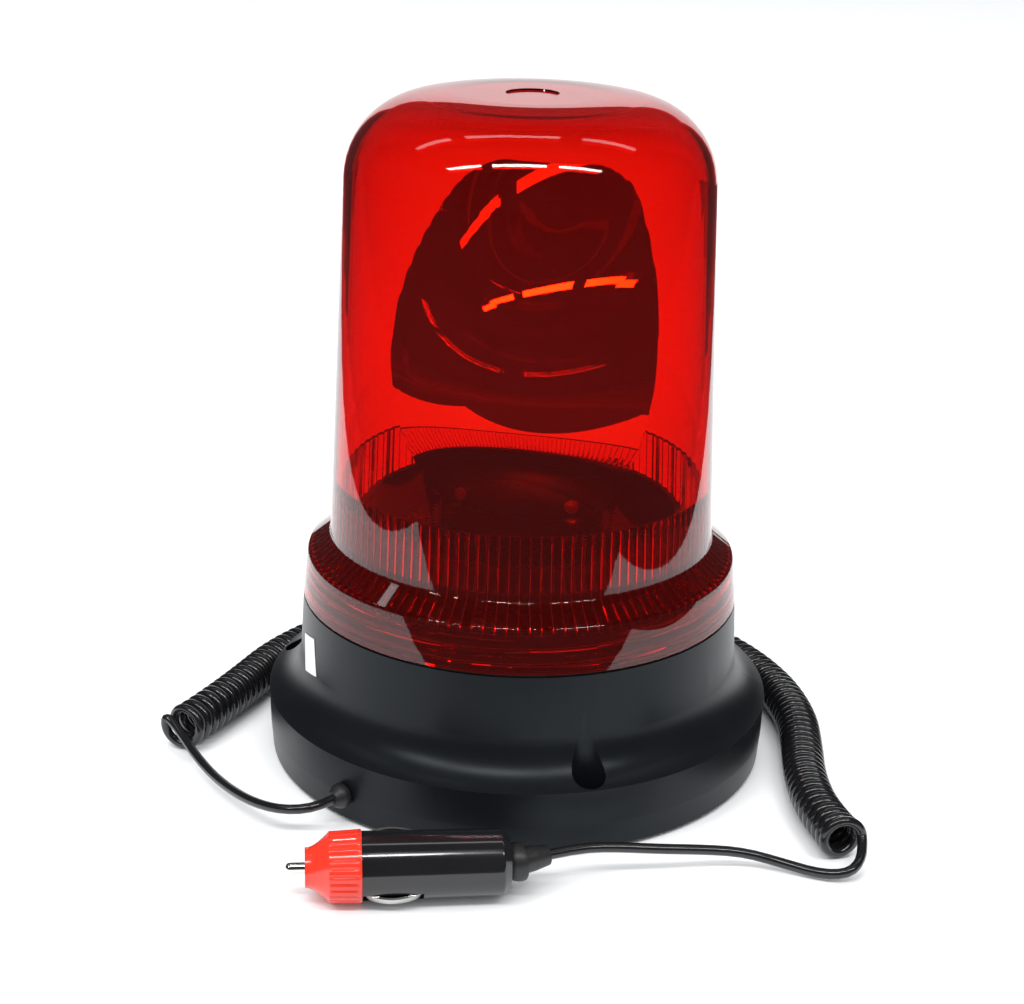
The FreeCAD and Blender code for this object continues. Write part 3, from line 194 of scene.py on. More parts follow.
class BeaconColours(bpy.types.PropertyGroup):
    """Base colours of the finishes."""
    abs_black: colour("Housing", (0.0055, 0.0065, 0.0080), "Satin black moulding")
    pvc_black: colour("Cord", (0.008, 0.008, 0.009), "Glossy flexible jacket")
    lens_red: colour("Dome", (0.948, 0.34, 0.0), "Clear red moulding")
    collar_red: colour("Collar", (0.70, 0.030, 0.013), "Glossy red collar of the plug")
    nylon: colour("Gears", (0.72, 0.70, 0.62), "Natural gear plastic")
    brass: colour("Brass", (0.78, 0.56, 0.25), "Lamp holder and contacts")
    floor: colour("Floor", (0.86, 0.87, 0.88), "Pale floor")


# ---- mesh helpers --------------------------------------------------------------------------------
def link(obj):
    """Puts an object into the scene."""
    bpy.context.scene.collection.objects.link(obj)
    return obj


def surface(name, rows, wrap_v=False, sharp=math.radians(35)):
    """A mesh from a grid of points, (rows, columns, 3): neighbours in the grid share a face.

    The last column joins the first, and with wrap_v the last row does too. Points that fall
    together, as at a pole, are welded, and the faces are turned outwards."""
    rows = np.asarray(rows, dtype=float)
    m, n = rows.shape[:2]
    i, j = np.meshgrid(np.arange(m if wrap_v else m - 1), np.arange(n), indexing="ij")
    a, b = i * n + j, i * n + (j + 1) % n
    c, d = ((i + 1) % m) * n + (j + 1) % n, ((i + 1) % m) * n + j
    quads = np.stack([a, b, c, d], axis=-1).reshape(-1, 4)
    mesh = bpy.data.meshes.new(name)
    mesh.vertices.add(m * n)
    mesh.vertices.foreach_set("co", rows.reshape(-1))
    mesh.loops.add(quads.size)
    mesh.loops.foreach_set("vertex_index", quads.reshape(-1))
    mesh.polygons.add(len(quads))
    mesh.polygons.foreach_set("loop_start", np.arange(len(quads)) * 4)
    mesh.update(calc_edges=True)
    mesh.validate()
    weld(mesh, sharp)
    return link(bpy.data.objects.new(name, mesh))


def weld(mesh, sharp):
    """Merges points that fall together, turns faces outwards, and shades smooth up to an angle."""
    work = bmesh.new()
    work.from_mesh(mesh)
    bmesh.ops.remove_doubles(work, verts=work.verts, dist=2e-7)
    bmesh.ops.dissolve_degenerate(work, edges=work.edges, dist=1e-8)
    bmesh.ops.recalc_face_normals(work, faces=work.faces)
    work.to_mesh(mesh)
    work.free()
    mesh.polygons.foreach_set("use_smooth", np.ones(len(mesh.polygons), dtype=bool))
    mesh.set_sharp_from_angle(angle=sharp)


def rounded(corners, segments=10):
    """A fine line through corners (a, b, radius).

    A corner with a radius is replaced by its tangent arc, a corner without one stays sharp."""
    parts = []
    for k, corner in enumerate(corners):
        p = np.array(corner[:2], dtype=float)
        radius = corner[2] if len(corner) > 2 else 0
        if radius <= 0 or k in (0, len(corners) - 1):
            parts.append(p[None])
            continue
        u = np.array(corners[k - 1][:2]) - p
        w = np.array(corners[k + 1][:2]) - p
        u, w = u / np.linalg.norm(u), w / np.linalg.norm(w)
        half = math.acos(np.clip(u @ w, -1, 1)) / 2
        centre = p + (u + w) / np.linalg.norm(u + w) * radius / math.sin(half)
        start, end = p + u * radius / math.tan(half), p + w * radius / math.tan(half)
        a0 = math.atan2(*(start - centre)[::-1])
        a1 = math.atan2(*(end - centre)[::-1])
        sweep = (a1 - a0 + math.pi) % TAU - math.pi
        angle = a0 + sweep * np.linspace(0, 1, segments + 1)
        parts.append(centre + radius * np.stack([np.cos(angle), np.sin(angle)], axis=1))
    return np.concatenate(parts)


def lathe_rows(profile, columns):
    """Points of a profile (radius, height) turned about Z: x = r cos t, y = r sin t.

    columns is how many even steps to take, or the angles themselves."""
    t = np.linspace(0, TAU, columns, endpoint=False) if np.isscalar(columns) else columns
    r, z = profile[:, 0, None], profile[:, 1, None]
    return np.stack([r * np.cos(t), r * np.sin(t), z + 0 * t], axis=-1)


def tube_rows(path, radius, sides=12, up=(0, 0, 1)):
    """A ring of the given radius carried along a path, square to the path's direction."""
    path = np.asarray(path, dtype=float)
    along = np.gradient(path, axis=0)
    along /= np.linalg.norm(along, axis=1, keepdims=True)
    side = np.cross(along, np.asarray(up, dtype=float))
    side /= np.linalg.norm(side, axis=1, keepdims=True)
    lift = np.cross(side, along)
    t = np.linspace(0, TAU, sides, endpoint=False)[None, :, None]
    radius = np.broadcast_to(np.asarray(radius, dtype=float), (len(path),))[:, None, None]
    rings = path[:, None] + radius * (np.cos(t) * side[:, None] + np.sin(t) * lift[:, None])
    first = np.repeat(path[:1, None], sides, axis=1)
    last = np.repeat(path[-1:, None], sides, axis=1)
    return np.concatenate([first, rings, last])


def sheet_rows(front, back):
    """Rows of a closed sheet: each goes across the front and comes back across the back.

    The first and last rows lie half way between the two faces and close the edges."""
    loop = np.concatenate([front, back[:, ::-1]], axis=1)
    middle = (front + back) / 2
    close = np.concatenate([middle, middle[:, ::-1]], axis=1)
    return np.concatenate([close[:1], loop, close[-1:]])


def draw_in(rows, profile, depth):
    """Moves the points of turned rows towards Z by a depth: r becomes r - depth; poles stay."""
    radius = profile[:, 0, None]
    factor = np.where(radius > 1e-6, (np.maximum(radius, 1e-9) - depth) / np.maximum(radius, 1e-9), 1)
    rows[..., 0] *= factor
    rows[..., 1] *= factor


def move(rows, matrix):
    """Points moved by a 4x4 matrix."""
    m = np.array(matrix)
    return rows @ m[:3, :3].T + m[:3, 3]


# ---- finishes ------------------------------------------------------------------------------------
def finish(name, base, rough, metallic=0.0, grain=900.0, bump=0.05, spread=0.10, rough_spread=0.06,
           coat=0.0, coat_rough=0.1, specular=0.5, streaks=None, transmission=0.0, ior=1.5,
           subsurface=0.0, tint=(1, 1, 1)):
    """A moulded or metal finish: fine grain lifts the surface, and broad clouds vary colour and gloss.

    grain is in waves per metre; streaks, if given, stretches the grain along Z by that factor."""
    material = bpy.data.materials.new(name)
    material.use_nodes = True
    nodes, links = material.node_tree.nodes, material.node_tree.links
    shader = nodes["Principled BSDF"]
    shader.inputs["Metallic"].default_value = metallic
    shader.inputs["Coat Weight"].default_value = coat
    shader.inputs["Coat Roughness"].default_value = coat_rough
    shader.inputs["Specular IOR Level"].default_value = specular
    shader.inputs["Specular Tint"].default_value = (*tint, 1)
    shader.inputs["Transmission Weight"].default_value = transmission
    shader.inputs["IOR"].default_value = ior
    shader.inputs["Subsurface Weight"].default_value = subsurface
    shader.inputs["Subsurface Scale"].default_value = 0.002
    place = nodes.new("ShaderNodeTexCoord")
    scale = nodes.new("ShaderNodeMapping")
    scale.inputs["Scale"].default_value = (1, 1, streaks or 1)
    links.new(place.outputs["Object"], scale.inputs["Vector"])
    fine, broad = nodes.new("ShaderNodeTexNoise"), nodes.new("ShaderNodeTexNoise")
    fine.inputs["Scale"].default_value = grain
    fine.inputs["Detail"].default_value = 3
    broad.inputs["Scale"].default_value = 45
    broad.inputs["Detail"].default_value = 4
    links.new(scale.outputs["Vector"], fine.inputs["Vector"])
    links.new(place.outputs["Object"], broad.inputs["Vector"])
    ramp = nodes.new("ShaderNodeValToRGB")
    low = [max(c * (1 - spread), 0) for c in base]
    high = [min(c * (1 + spread), 1) for c in base]
    ramp.color_ramp.elements[0].position, ramp.color_ramp.elements[1].position = 0.3, 0.7
    ramp.color_ramp.elements[0].color = (*low, 1)
    ramp.color_ramp.elements[1].color = (*high, 1)
    links.new(broad.outputs["Fac"], ramp.inputs["Fac"])
    links.new(ramp.outputs["Color"], shader.inputs["Base Color"])
    gloss = nodes.new("ShaderNodeMapRange")
    gloss.inputs["To Min"].default_value = max(rough - rough_spread, 0.01)
    gloss.inputs["To Max"].default_value = rough + rough_spread
    links.new(broad.outputs["Fac"], gloss.inputs["Value"])
    links.new(gloss.outputs["Result"], shader.inputs["Roughness"])
    lift = nodes.new("ShaderNodeBump")
    lift.inputs["Strength"].default_value = bump
    lift.inputs["Distance"].default_value = 0.0002
    links.new(fine.outputs["Fac"], lift.inputs["Height"])
    links.new(lift.outputs["Normal"], shader.inputs["Normal"])
    return material


def clear_red(name, base, density):
    """Clear coloured moulding: a smooth skin, and a wall that takes out green and blue as it thickens.

    A very faint red emission of the skin is a painted glow: it stands for the light that the moulding's
    haze scatters."""
    painted_glow_colour, painted_glow_strength = (1, 0.05, 0.04), 0.022
    material = finish(name, (1, 1, 1), 0.015, grain=60, bump=0.02, spread=0, rough_spread=0.01,
                      transmission=1, ior=1.52)
    nodes, links = material.node_tree.nodes, material.node_tree.links
    shader = nodes["Principled BSDF"]
    # Painted glow: a faint red emission on the clear dome, which is no lamp.
    shader.inputs["Emission Color"].default_value = (*painted_glow_colour, 1)
    shader.inputs["Emission Strength"].default_value = painted_glow_strength
    inside = nodes.new("ShaderNodeVolumeAbsorption")
    inside.inputs["Color"].default_value = (*base, 1)
    inside.inputs["Density"].default_value = density
    links.new(inside.outputs["Volume"], nodes["Material Output"].inputs["Volume"])
    return material


FINISHES = {}


def make_finishes(colours):
    """Every finish, by the name of the record's slot."""
    steel = (0.62, 0.63, 0.65)
    FINISHES.update({
        "black_abs": finish("satin_black_abs", colours.abs_black, 0.32, grain=2600, bump=0.10,
                            rough_spread=0.04, specular=0.22, tint=(0.82, 0.92, 1.0)),
        "deck_abs": finish("dark_grey_deck", (0.030, 0.028, 0.028), 0.38, grain=2600, bump=0.10),
        "grey_rubber": finish("matt_magnet_rubber", (0.028, 0.028, 0.03), 0.75, grain=1500, bump=0.3),
        "black_rubber": finish("soft_black_rubber", (0.012, 0.012, 0.013), 0.42, grain=1200, bump=0.12),
        "cord_pvc": finish("glossy_cord_jacket", colours.pvc_black, 0.20, grain=700, bump=0.06, coat=0.3),
        "wire_red": finish("red_wire_jacket", (0.55, 0.02, 0.015), 0.35, grain=700),
        "black_gloss": finish("glossy_black_plug", (0.009, 0.009, 0.010), 0.13, grain=500, bump=0.03,
                              coat=0.4, coat_rough=0.05, rough_spread=0.03),
        "red_gloss": finish("glossy_red_collar", colours.collar_red, 0.20, grain=500, bump=0.03, coat=0.4,
                            coat_rough=0.06, rough_spread=0.04, subsurface=0.1),
        "nickel": finish("nickel_plate", (0.80, 0.79, 0.77), 0.12, metallic=1, grain=1400, bump=0.03),
        "zinc_steel": finish("zinc_plated_steel", steel, 0.34, metallic=1, grain=1600, bump=0.1),
        "motor_steel": finish("motor_can_steel", (0.68, 0.69, 0.70), 0.28, metallic=1, grain=400,
                              streaks=0.05, bump=0.08),
        "ferrite": finish("sintered_ferrite", (0.07, 0.07, 0.075), 0.6, grain=2500, bump=0.3),
        "brass": finish("drawn_brass", colours.brass, 0.26, metallic=1, grain=900, bump=0.05),
        "black_nylon": finish("black_acetal", (0.013, 0.013, 0.014), 0.34, grain=1200, bump=0.05),
        "natural_nylon": finish("natural_acetal", colours.nylon, 0.42, grain=1200, bump=0.05,
                                subsurface=0.3),
        "white_nylon": finish("white_nylon", (0.80, 0.80, 0.77), 0.45, grain=1200, subsurface=0.2),
        "clear_glass": finish("lamp_glass", (1, 1, 1), 0.02, spread=0, grain=100, bump=0.01,
                              rough_spread=0.01, transmission=1, ior=1.47),
        "mirror_metal": finish("vacuum_metallised", (0.93, 0.93, 0.94), 0.022, metallic=1, grain=55,
                               bump=0.012, spread=0.02, rough_spread=0.012),
        "red_lens": clear_red("clear_red_moulding", colours.lens_red, 1600),
        "filament": finish("tungsten_wire", (0.30, 0.29, 0.28), 0.4, metallic=1, grain=4000),
        "label_paper": finish("bare_white_label", (0.80, 0.81, 0.82), 0.5, grain=900, bump=0.05,
                              spread=0.03),
    })


def dress(obj, key):
    """Gives an object one finish."""
    obj.data.materials.clear()
    obj.data.materials.append(FINISHES[key])


def add_piece(obj, body, key, replaces=()):
    """Finishes a new piece, and ties it to the body it moves with and the nodes it stands for."""
    dress(obj, key)
    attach(obj, body)
    if replaces:
        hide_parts(*replaces)


# ---- stage ---------------------------------------------------------------------------------------
def card(name, corners, base):
    """A flat stage card from four corners."""
    mesh = bpy.data.meshes.new(name)
    mesh.from_pydata(corners, [], [(0, 1, 2, 3)])
    obj = link(bpy.data.objects.new(name, mesh))
    obj.data.materials.append(finish(name + "_paint", base, 0.9, grain=300, bump=0.0, spread=0.01))
    return obj


def lamp(name, place, target, size, power):
    """A soft rectangular light that looks at a target."""
    data = bpy.data.lights.new(name, "AREA")
    data.shape, data.energy = "RECTANGLE", power
    data.size, data.size_y = size
    obj = link(bpy.data.objects.new(name, data))
    obj.visible_camera = False
    obj.location = place
    obj.rotation_euler = (Vector(target) - Vector(place)).to_track_quat("-Z", "Y").to_euler()
    return obj


def make_camera():
    """A level, slightly rolled camera in front of the beacon, looking down on it."""
    pitch, roll, yaw = math.radians(20.34), 0.025, -0.005
    back, height = -0.60879, 0.30706
    ahead = Vector((math.sin(yaw) * math.cos(pitch), math.cos(yaw) * math.cos(pitch), -math.sin(pitch)))
    right = Vector((math.cos(yaw), -math.sin(yaw), 0))
    up = right.cross(ahead)
    r = right * math.cos(roll) + up * math.sin(roll)
    u = up * math.cos(roll) - right * math.sin(roll)
    data = bpy.data.cameras.new("camera")
    data.sensor_width, data.lens = 36, 72.345
    data.clip_start, data.clip_end = 0.01, 50
    obj = link(bpy.data.objects.new("camera", data))
    obj.matrix_world = Matrix(((r.x, u.x, -ahead.x, 0), (r.y, u.y, -ahead.y, back),
                               (r.z, u.z, -ahead.z, height), (0, 0, 0, 1)))
    bpy.context.scene.camera = obj


def make_stage(colours):
    """A pale floor, a white sky, soft lamps, and a dark room that only reflections see.

    In reflections the pale floor is a sheet with edges: dark cards lie past them, and a dark wall
    with a gap for the white sky stands behind."""
    dark_paint = (0.024, 0.0223, 0.0228)
    card("floor", [(-4, -3.0, 0), (4, -3.0, 0), (4, 4, 0), (-4, 4, 0)], colours.floor)
    left, right, near, far, top = -2.4, 2.4, -2.6, 1.0, 2.6
    low = 0.0004
    sheet_left, sheet_right, sheet_near = -0.34, 0.29, -0.21
    gap_left, gap_right, gap_top = -0.36, 0.45, 0.5
    flat = {"front_floor": (left, near, right, sheet_near),
            "left_floor": (left, sheet_near, sheet_left, far),
            "right_floor": (sheet_right, sheet_near, right, far)}
    rooms = {name: [(x0, y0, low), (x1, y0, low), (x1, y1, low), (x0, y1, low)]
             for name, (x0, y0, x1, y1) in flat.items()}
    upright = {"front": (left, near, right, near, low, top), "left": (left, near, left, far, low, top),
               "right": (right, near, right, far, low, top),
               "back_left": (left, far, gap_left, far, low, gap_top),
               "back_right": (gap_right, far, right, far, low, gap_top),
               "back_high": (left, far, right, far, gap_top, top)}
    rooms.update({name: [(x0, y0, z0), (x1, y1, z0), (x1, y1, z1), (x0, y0, z1)]
                  for name, (x0, y0, x1, y1, z0, z1) in upright.items()})
    rooms["ceiling"] = [(left, near, top), (right, near, top), (right, far, top), (left, far, top)]
    for name, corners in rooms.items():
        dark = card("dark_" + name, corners, dark_paint)
        dark.visible_camera = dark.visible_diffuse = dark.visible_shadow = False
    world = bpy.data.worlds.new("white_room")
    world.use_nodes = True
    world.node_tree.nodes["Background"].inputs["Color"].default_value = (0.98, 0.99, 1.0, 1)
    world.node_tree.nodes["Background"].inputs["Strength"].default_value = 1.02
    bpy.context.scene.world = world
    for name, place, power in (("key_light", (-0.7, -0.4, 1.7), 5), ("back_light", (0.3, 1.0, 1.4), 7)):
        soft = lamp(name, place, (0, 0, 0.1), (0.8, 0.6), power)
        soft.visible_glossy = soft.visible_transmission = False
    tube_height, tube_size, tube_middle, tube_step = 1.7, (0.86, 0.12), -0.19, 1.07
    for row, (y, power) in enumerate(((-0.98, 12), (0.30, 1.0))):
        for i in (-1, 0, 1):
            x = tube_middle + tube_step * i
            lamp("tube_%d_%d" % (row + 1, i + 2), (x, y, tube_height), (x, y, 0), tube_size, power)
    bpy.context.scene.view_settings.view_transform = "Standard"


# ---- cord ----------------------------------------------------------------------------------------
def nurbs(name, points, resolution):
    """An open NURBS curve with the given control points."""
    curve = bpy.data.curves.new(name, "CURVE")
    curve.dimensions, curve.resolution_u = "3D", resolution
    spline = curve.splines.new("NURBS")
    spline.points.add(len(points) - 1)
    spline.points.foreach_set("co", np.c_[points, np.ones(len(points))].reshape(-1))
    spline.order_u = 3
    spline.use_endpoint_u = True
    return link(bpy.data.objects.new(name, curve))


def fine_line(points, resolution=24):
    """Points along the NURBS curve through a route, read from Blender's own curve."""
    helper = nurbs("route_helper", points, resolution)
    mesh = bpy.data.meshes.new_from_object(helper)
    line = np.empty(len(mesh.vertices) * 3)
    mesh.vertices.foreach_get("co", line)
    curve = helper.data
    bpy.data.objects.remove(helper)
    bpy.data.curves.remove(curve)
    bpy.data.meshes.remove(mesh)
    return line.reshape(-1, 3)


def helix(sizes, start_angle, end_angle):
    """The turns: a point goes round the coil's axis as it moves along it.

    The centre follows the coil's route. The angle grows by 2 pi over each pitch, the pitch opens
    towards the start, and the radius changes evenly from the left end to the right, with a little
    more at both ends."""
    pull_fade, end_fade, left_swell, right_swell, gap = 0.012, 0.004, 0.0004, 0.0006, 0.0001
    line = fine_line([(x, y, 0) for x, y in COIL_ROUTE])
    step = np.linalg.norm(np.diff(line, axis=0), axis=1)
    s = np.r_[0, np.cumsum(step)]
    fine_s = np.linspace(0, s[-1], 4000)
    pitch = sizes.pitch + (sizes.end_pitch - sizes.pitch) * np.exp(-fine_s / pull_fade)
    turns = np.r_[0, np.cumsum(np.diff(fine_s) / pitch[1:])]
    whole = round(turns[-1] - (end_angle - start_angle) / TAU) + (end_angle - start_angle) / TAU
    turns *= whole / turns[-1]
    wanted = np.linspace(0, whole, int(whole * sizes.points_per_turn))
    at = np.interp(wanted, turns, fine_s)
    centre = np.stack([np.interp(at, s, line[:, k]) for k in range(3)], axis=1)
    ahead = np.stack([np.interp(at + 5e-4, s, line[:, k]) for k in range(3)], axis=1)
    behind = np.stack([np.interp(at - 5e-4, s, line[:, k]) for k in range(3)], axis=1)
    along = (ahead - behind) / np.linalg.norm(ahead - behind, axis=1, keepdims=True)
    up = np.array([0, 0, 1.0])
    side = np.cross(along, up)
    share = at / s[-1]
    radius = sizes.left_radius * (1 - share) + sizes.right_radius * share
    radius = (radius + left_swell * np.exp(-at / end_fade)
              + right_swell * np.exp(-(s[-1] - at) / end_fade))
    centre[:, 2] = radius + sizes.diameter / 2 + gap
    angle = start_angle + wanted * TAU
    swing = np.cos(angle)[:, None] * side + np.sin(angle)[:, None] * up
    return centre + radius[:, None] * swing


def gland_point(sizes, reach):
    """A point on the gland's axis, at a distance from the beacon's axis."""
    a = sizes.gland_azimuth
    return (reach * math.cos(a), reach * math.sin(a), sizes.gland_height)


def boot_point(distance):
    """A point on the axis of the plug's boot, at a distance from the plug body's cord end.

    Up to the ball it runs straight back from the plug, and past it along the bent boot."""
    a, b = PLUG_AZIMUTH, PLUG_AZIMUTH + BOOT_BEND
    near, far = min(distance, BOOT_BALL), max(distance - BOOT_BALL, 0)
    return (PLUG_END[0] - near * math.cos(a) - far * math.cos(b),
            PLUG_END[1] - near * math.sin(a) - far * math.sin(b), PLUG_HEIGHT)


def make_cord(sizes):
    """One cord from the gland to the plug: a lead, the turns, and a second lead."""
    exit_at = gland_point(sizes, sizes.gland_reach)
    points = [exit_at, gland_point(sizes, sizes.gland_reach + sizes.lead_run)] + LEAD_A_ROUTE
    turns = helix(sizes, math.radians(150), math.radians(180))
    tail = LEAD_B_ROUTE + [boot_point(BOOT_LENGTH + sizes.boot_run),
                           boot_point(BOOT_LENGTH - sizes.boot_entry)]
    points = np.concatenate([points, turns, tail])
    obj = nurbs("curly_lead", points, 3)
    obj.data.bevel_depth = sizes.diameter / 2
    obj.data.bevel_resolution = 3
    obj.data.use_fill_caps = True
    add_piece(obj, "base", "cord_pvc", ("lead_to_beacon", "curly_cord", "lead_to_plug"))


# ---- dome ----------------------------------------------------------------------------------------
def lens_outline(sizes, depth):
    """The dome's outline from foot to crown, moved inwards by a depth.

    On the sloping shoulder the edge drops by a share of the depth; the outside has the gate mark."""
    edge_round, crown_round, drop, segments = 0.0014, 0.09, 0.62, 11
    fall = math.atan2(sizes.wall_radius - sizes.top_radius, sizes.top_height - sizes.shoulder_height)
    out = [(sizes.foot_radius - depth, sizes.foot),
           (sizes.rim_radius - depth, sizes.rim_height - depth * drop, edge_round),
           (sizes.wall_radius - depth, sizes.shoulder_height - depth * drop, edge_round),
           (sizes.top_radius - depth / math.cos(fall), sizes.top_height - depth, sizes.corner - depth),
           (sizes.crown_radius, sizes.crown_height - depth, crown_round)]
    if depth == 0:
        low = sizes.crown_height - sizes.mark_depth
        out += [(sizes.mark_radius, sizes.crown_height), (sizes.mark_radius - sizes.mark_depth / 2, low)]
        return rounded(out + [(0, low)], segments)
    return rounded(out + [(0, sizes.crown_height - depth)], segments)


def make_lens(sizes):
    """A turned wall with prism ribs and thread ridges on its inside.

    The outline runs up the outside and back down the inside. On the inside the radius shrinks by
    depth sqrt(1 - u^2) over each rib, u going from -1 to 1 across it, and by a ridge that climbs with
    the angle in the flange."""
    outer, inner = lens_outline(sizes, 0), lens_outline(sizes, sizes.wall)[::-1]
    rib_top, rib_low = sizes.shoulder_height + sizes.rib_height, sizes.rim_height - 0.0030
    draft = (sizes.wall_radius - sizes.top_radius) / (sizes.top_height - sizes.shoulder_height)
    lift = np.array([0.040, 0.012, 0.004, 0.0012, 0.0004, 0])
    wall_z = np.r_[rib_top + lift, np.linspace(rib_top, sizes.shoulder_height, 4)[1:]]
    wall_r = sizes.wall_radius - sizes.wall - (wall_z - sizes.shoulder_height) * draft
    above = inner[inner[:, 1] > wall_z[0] + 0.001]
    below = inner[inner[:, 1] < sizes.shoulder_height - 0.0006]
    flange = np.linspace(below[-2], below[-1], 24)[1:-1]
    inner = np.concatenate([above, np.stack([wall_r, wall_z], axis=1), below[:-1], flange, below[-1:]])
    profile = np.concatenate([outer, inner])
    share = np.array([0, 0.05, 0.17, 0.5, 0.83, 0.95])
    t = ((np.arange(sizes.rib_count)[:, None] + share) * TAU / sizes.rib_count).ravel()
    rows = lathe_rows(profile, t)
    z = profile[:, 1, None]
    inside = (np.arange(len(profile)) >= len(outer))[:, None]
    wave = np.tile(np.sqrt(1 - (2 * share - 1) ** 2), sizes.rib_count)
    ribbed = inside & (z <= rib_top + 1e-6) & (z > rib_low)
    depth = np.where(ribbed, sizes.rib_depth * wave, 0)
    thread_low, thread_top, ridge_width = sizes.foot + 0.0015, sizes.rim_height - 0.0045, 0.16
    climb = ((z - sizes.foot) / sizes.thread_pitch - t / TAU) % 1
    ridge = sizes.thread_depth * np.exp(-((climb - 0.5) / ridge_width) ** 2)
    depth = depth + np.where(inside & (z > thread_low) & (z < thread_top), ridge, 0)
    draw_in(rows, profile, depth)
    obj = surface("dome_lens", rows, wrap_v=True, sharp=math.radians(22))
    add_piece(obj, "lens_body", "red_lens", ("lens",))


# ---- mirror and lamp -----------------------------------------------------------------------------
def mirror_half_width(sizes, z):
    """Half of the barrel outline: a side arc, drawn in by a quarter circle at the top corners."""
    r = sizes.side_radius
    wide = sizes.half_width - r + np.sqrt(r * r - (z - sizes.widest_height) ** 2)
    up = np.clip(z - (sizes.high - sizes.corner), 0, sizes.corner)
    return wide - (sizes.corner - np.sqrt(sizes.corner ** 2 - up ** 2))


def make_mirror(sizes):
    """A parabolic shell, y = (x^2 + (z - focus)^2) / 4f - f, cut to the barrel outline.

    The rounded face is the hollow one, moved a wall's thickness along Y. The foot is a flat ring with
    rounded edges."""
    z = sizes.low + (sizes.high - sizes.low) * (1 - np.cos(np.linspace(0, math.pi, 120))) / 2
    s = np.sin(np.linspace(-math.pi / 2, math.pi / 2, 90))
    x = mirror_half_width(sizes, z)[:, None] * s
    zz = z[:, None] + 0 * s
    y = (x ** 2 + (zz - sizes.focus_height) ** 2) / (4 * sizes.focus) - sizes.focus
    front = np.stack([x, y, zz], axis=-1)
    back = front.copy()
    back[..., 1] -= sizes.wall
    turn = Matrix.Rotation(sizes.turn, 4, "Z")
    obj = surface("mirror_shell", move(sheet_rows(front, back), turn), sharp=math.radians(25))
    add_piece(obj, "rotor", "mirror_metal", ("reflector",))
    low, top = sizes.low, sizes.low + sizes.foot_thickness
    ring = rounded([(sizes.foot_hole, low), (sizes.foot_radius, low, 0.0004),
                    (sizes.foot_radius, top, 0.0006), (sizes.foot_hole, top, 0.0006),
                    (sizes.foot_hole, low)], 4)
    foot = surface("mirror_foot", lathe_rows(ring, 180))
    add_piece(foot, "rotor", "black_nylon")


def make_lamp_glass():
    """A blown bulb: neck, round globe and a pip at the top, with a thin wall."""
    low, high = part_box("bulb_glass")
    top, foot = high.z, low.z
    globe, neck, wall = (high.x - low.x) / 2, 0.0070, 0.0008
    centre = top - globe

    def outline(inset):
        return rounded([(0, foot + inset), (neck - inset, foot + inset, 0.0006),
                        (neck - inset, foot + 0.007, 0.009), (globe - inset, centre - 0.007, 0.008),
                        (globe - inset, top - inset, globe - inset - 0.0004), (0, top - inset)], 16)

    shell = surface("lamp_glass", lathe_rows(np.concatenate([outline(0), outline(wall)[::-1]]), 96))
    add_piece(shell, "base", "clear_glass", ("bulb_glass",))


def make_filament():
    """A close coil between two posts that stand on a glass bead.

    The coil's wire goes round as it moves along X. The posts lean inwards towards their feet. The
    bead's radius is r sqrt(1 - u^6), u going from end to end."""
    low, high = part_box("filament")
    span, turns, coil_radius, wire_radius = 0.007, 22, 0.0007, 0.00016
    post_radius, post_lean = 0.00028, 0.001
    bead_half, bead_radius, bead_lift = 0.004, 0.0012, 0.005
    z = high.z - 0.0009
    t = np.linspace(0, 1, 700)
    angle = TAU * turns * t
    path = np.stack([span * (t - 0.5), coil_radius * np.cos(angle),
                     z + coil_radius * np.sin(angle)], axis=1)
    coil = surface("filament_coil", tube_rows(path, wire_radius, 8, up=(0.02, 0.3, 1)))
    add_piece(coil, "base", "filament", ("filament",))
    for k, side in enumerate((-1, 1)):
        h = np.linspace(low.z + 0.0002, z, 20)
        bend = side * (span / 2 - post_lean * (1 - (h - low.z) / (z - low.z)))
        line = np.stack([bend, 0 * h, h], axis=1)
        post = surface("filament_post_%d" % (k + 1), tube_rows(line, post_radius, 10, up=(0, 1, 0)))
        add_piece(post, "base", "filament")
    u = np.linspace(-1, 1, 12)
    line = np.stack([bead_half * u, 0 * u, low.z + bead_lift + 0 * u], axis=1)
    bulge = bead_radius * np.sqrt(np.clip(1 - (0.98 * u) ** 6, 0.05, 1))
    bead = surface("filament_bead", tube_rows(line, bulge, 12))
    add_piece(bead, "base", "clear_glass")


# ---- label ---------------------------------------------------------------------------------------
def make_label(sizes):
    """A bare label wrapped on the neck: a slanted rectangle, lifted a paper's thickness off the cone.

    across goes from -1 to 1 round the neck and up from 0 to 1. The height is foot + height * up +
    rise * across, and the azimuth shifts by the half angle * across and the slant * up."""
    neck_radius, neck_top, neck_draft = 0.0687, 0.0526, math.radians(3)
    across, up = np.meshgrid(np.linspace(-1, 1, 24), np.linspace(0, 1, 24))
    z = sizes.foot + sizes.height * up + sizes.rise * across
    azimuth = sizes.azimuth + across * sizes.half_angle - up * sizes.slant
    radius = neck_radius + (neck_top - z) * math.tan(neck_draft) + sizes.lift
    front, back = (np.stack([r * np.cos(azimuth), r * np.sin(azimuth), z], axis=-1)
                   for r in (radius, radius - sizes.paper))
    obj = surface("neck_label", sheet_rows(front, back))
    add_piece(obj, "base", "label_paper")


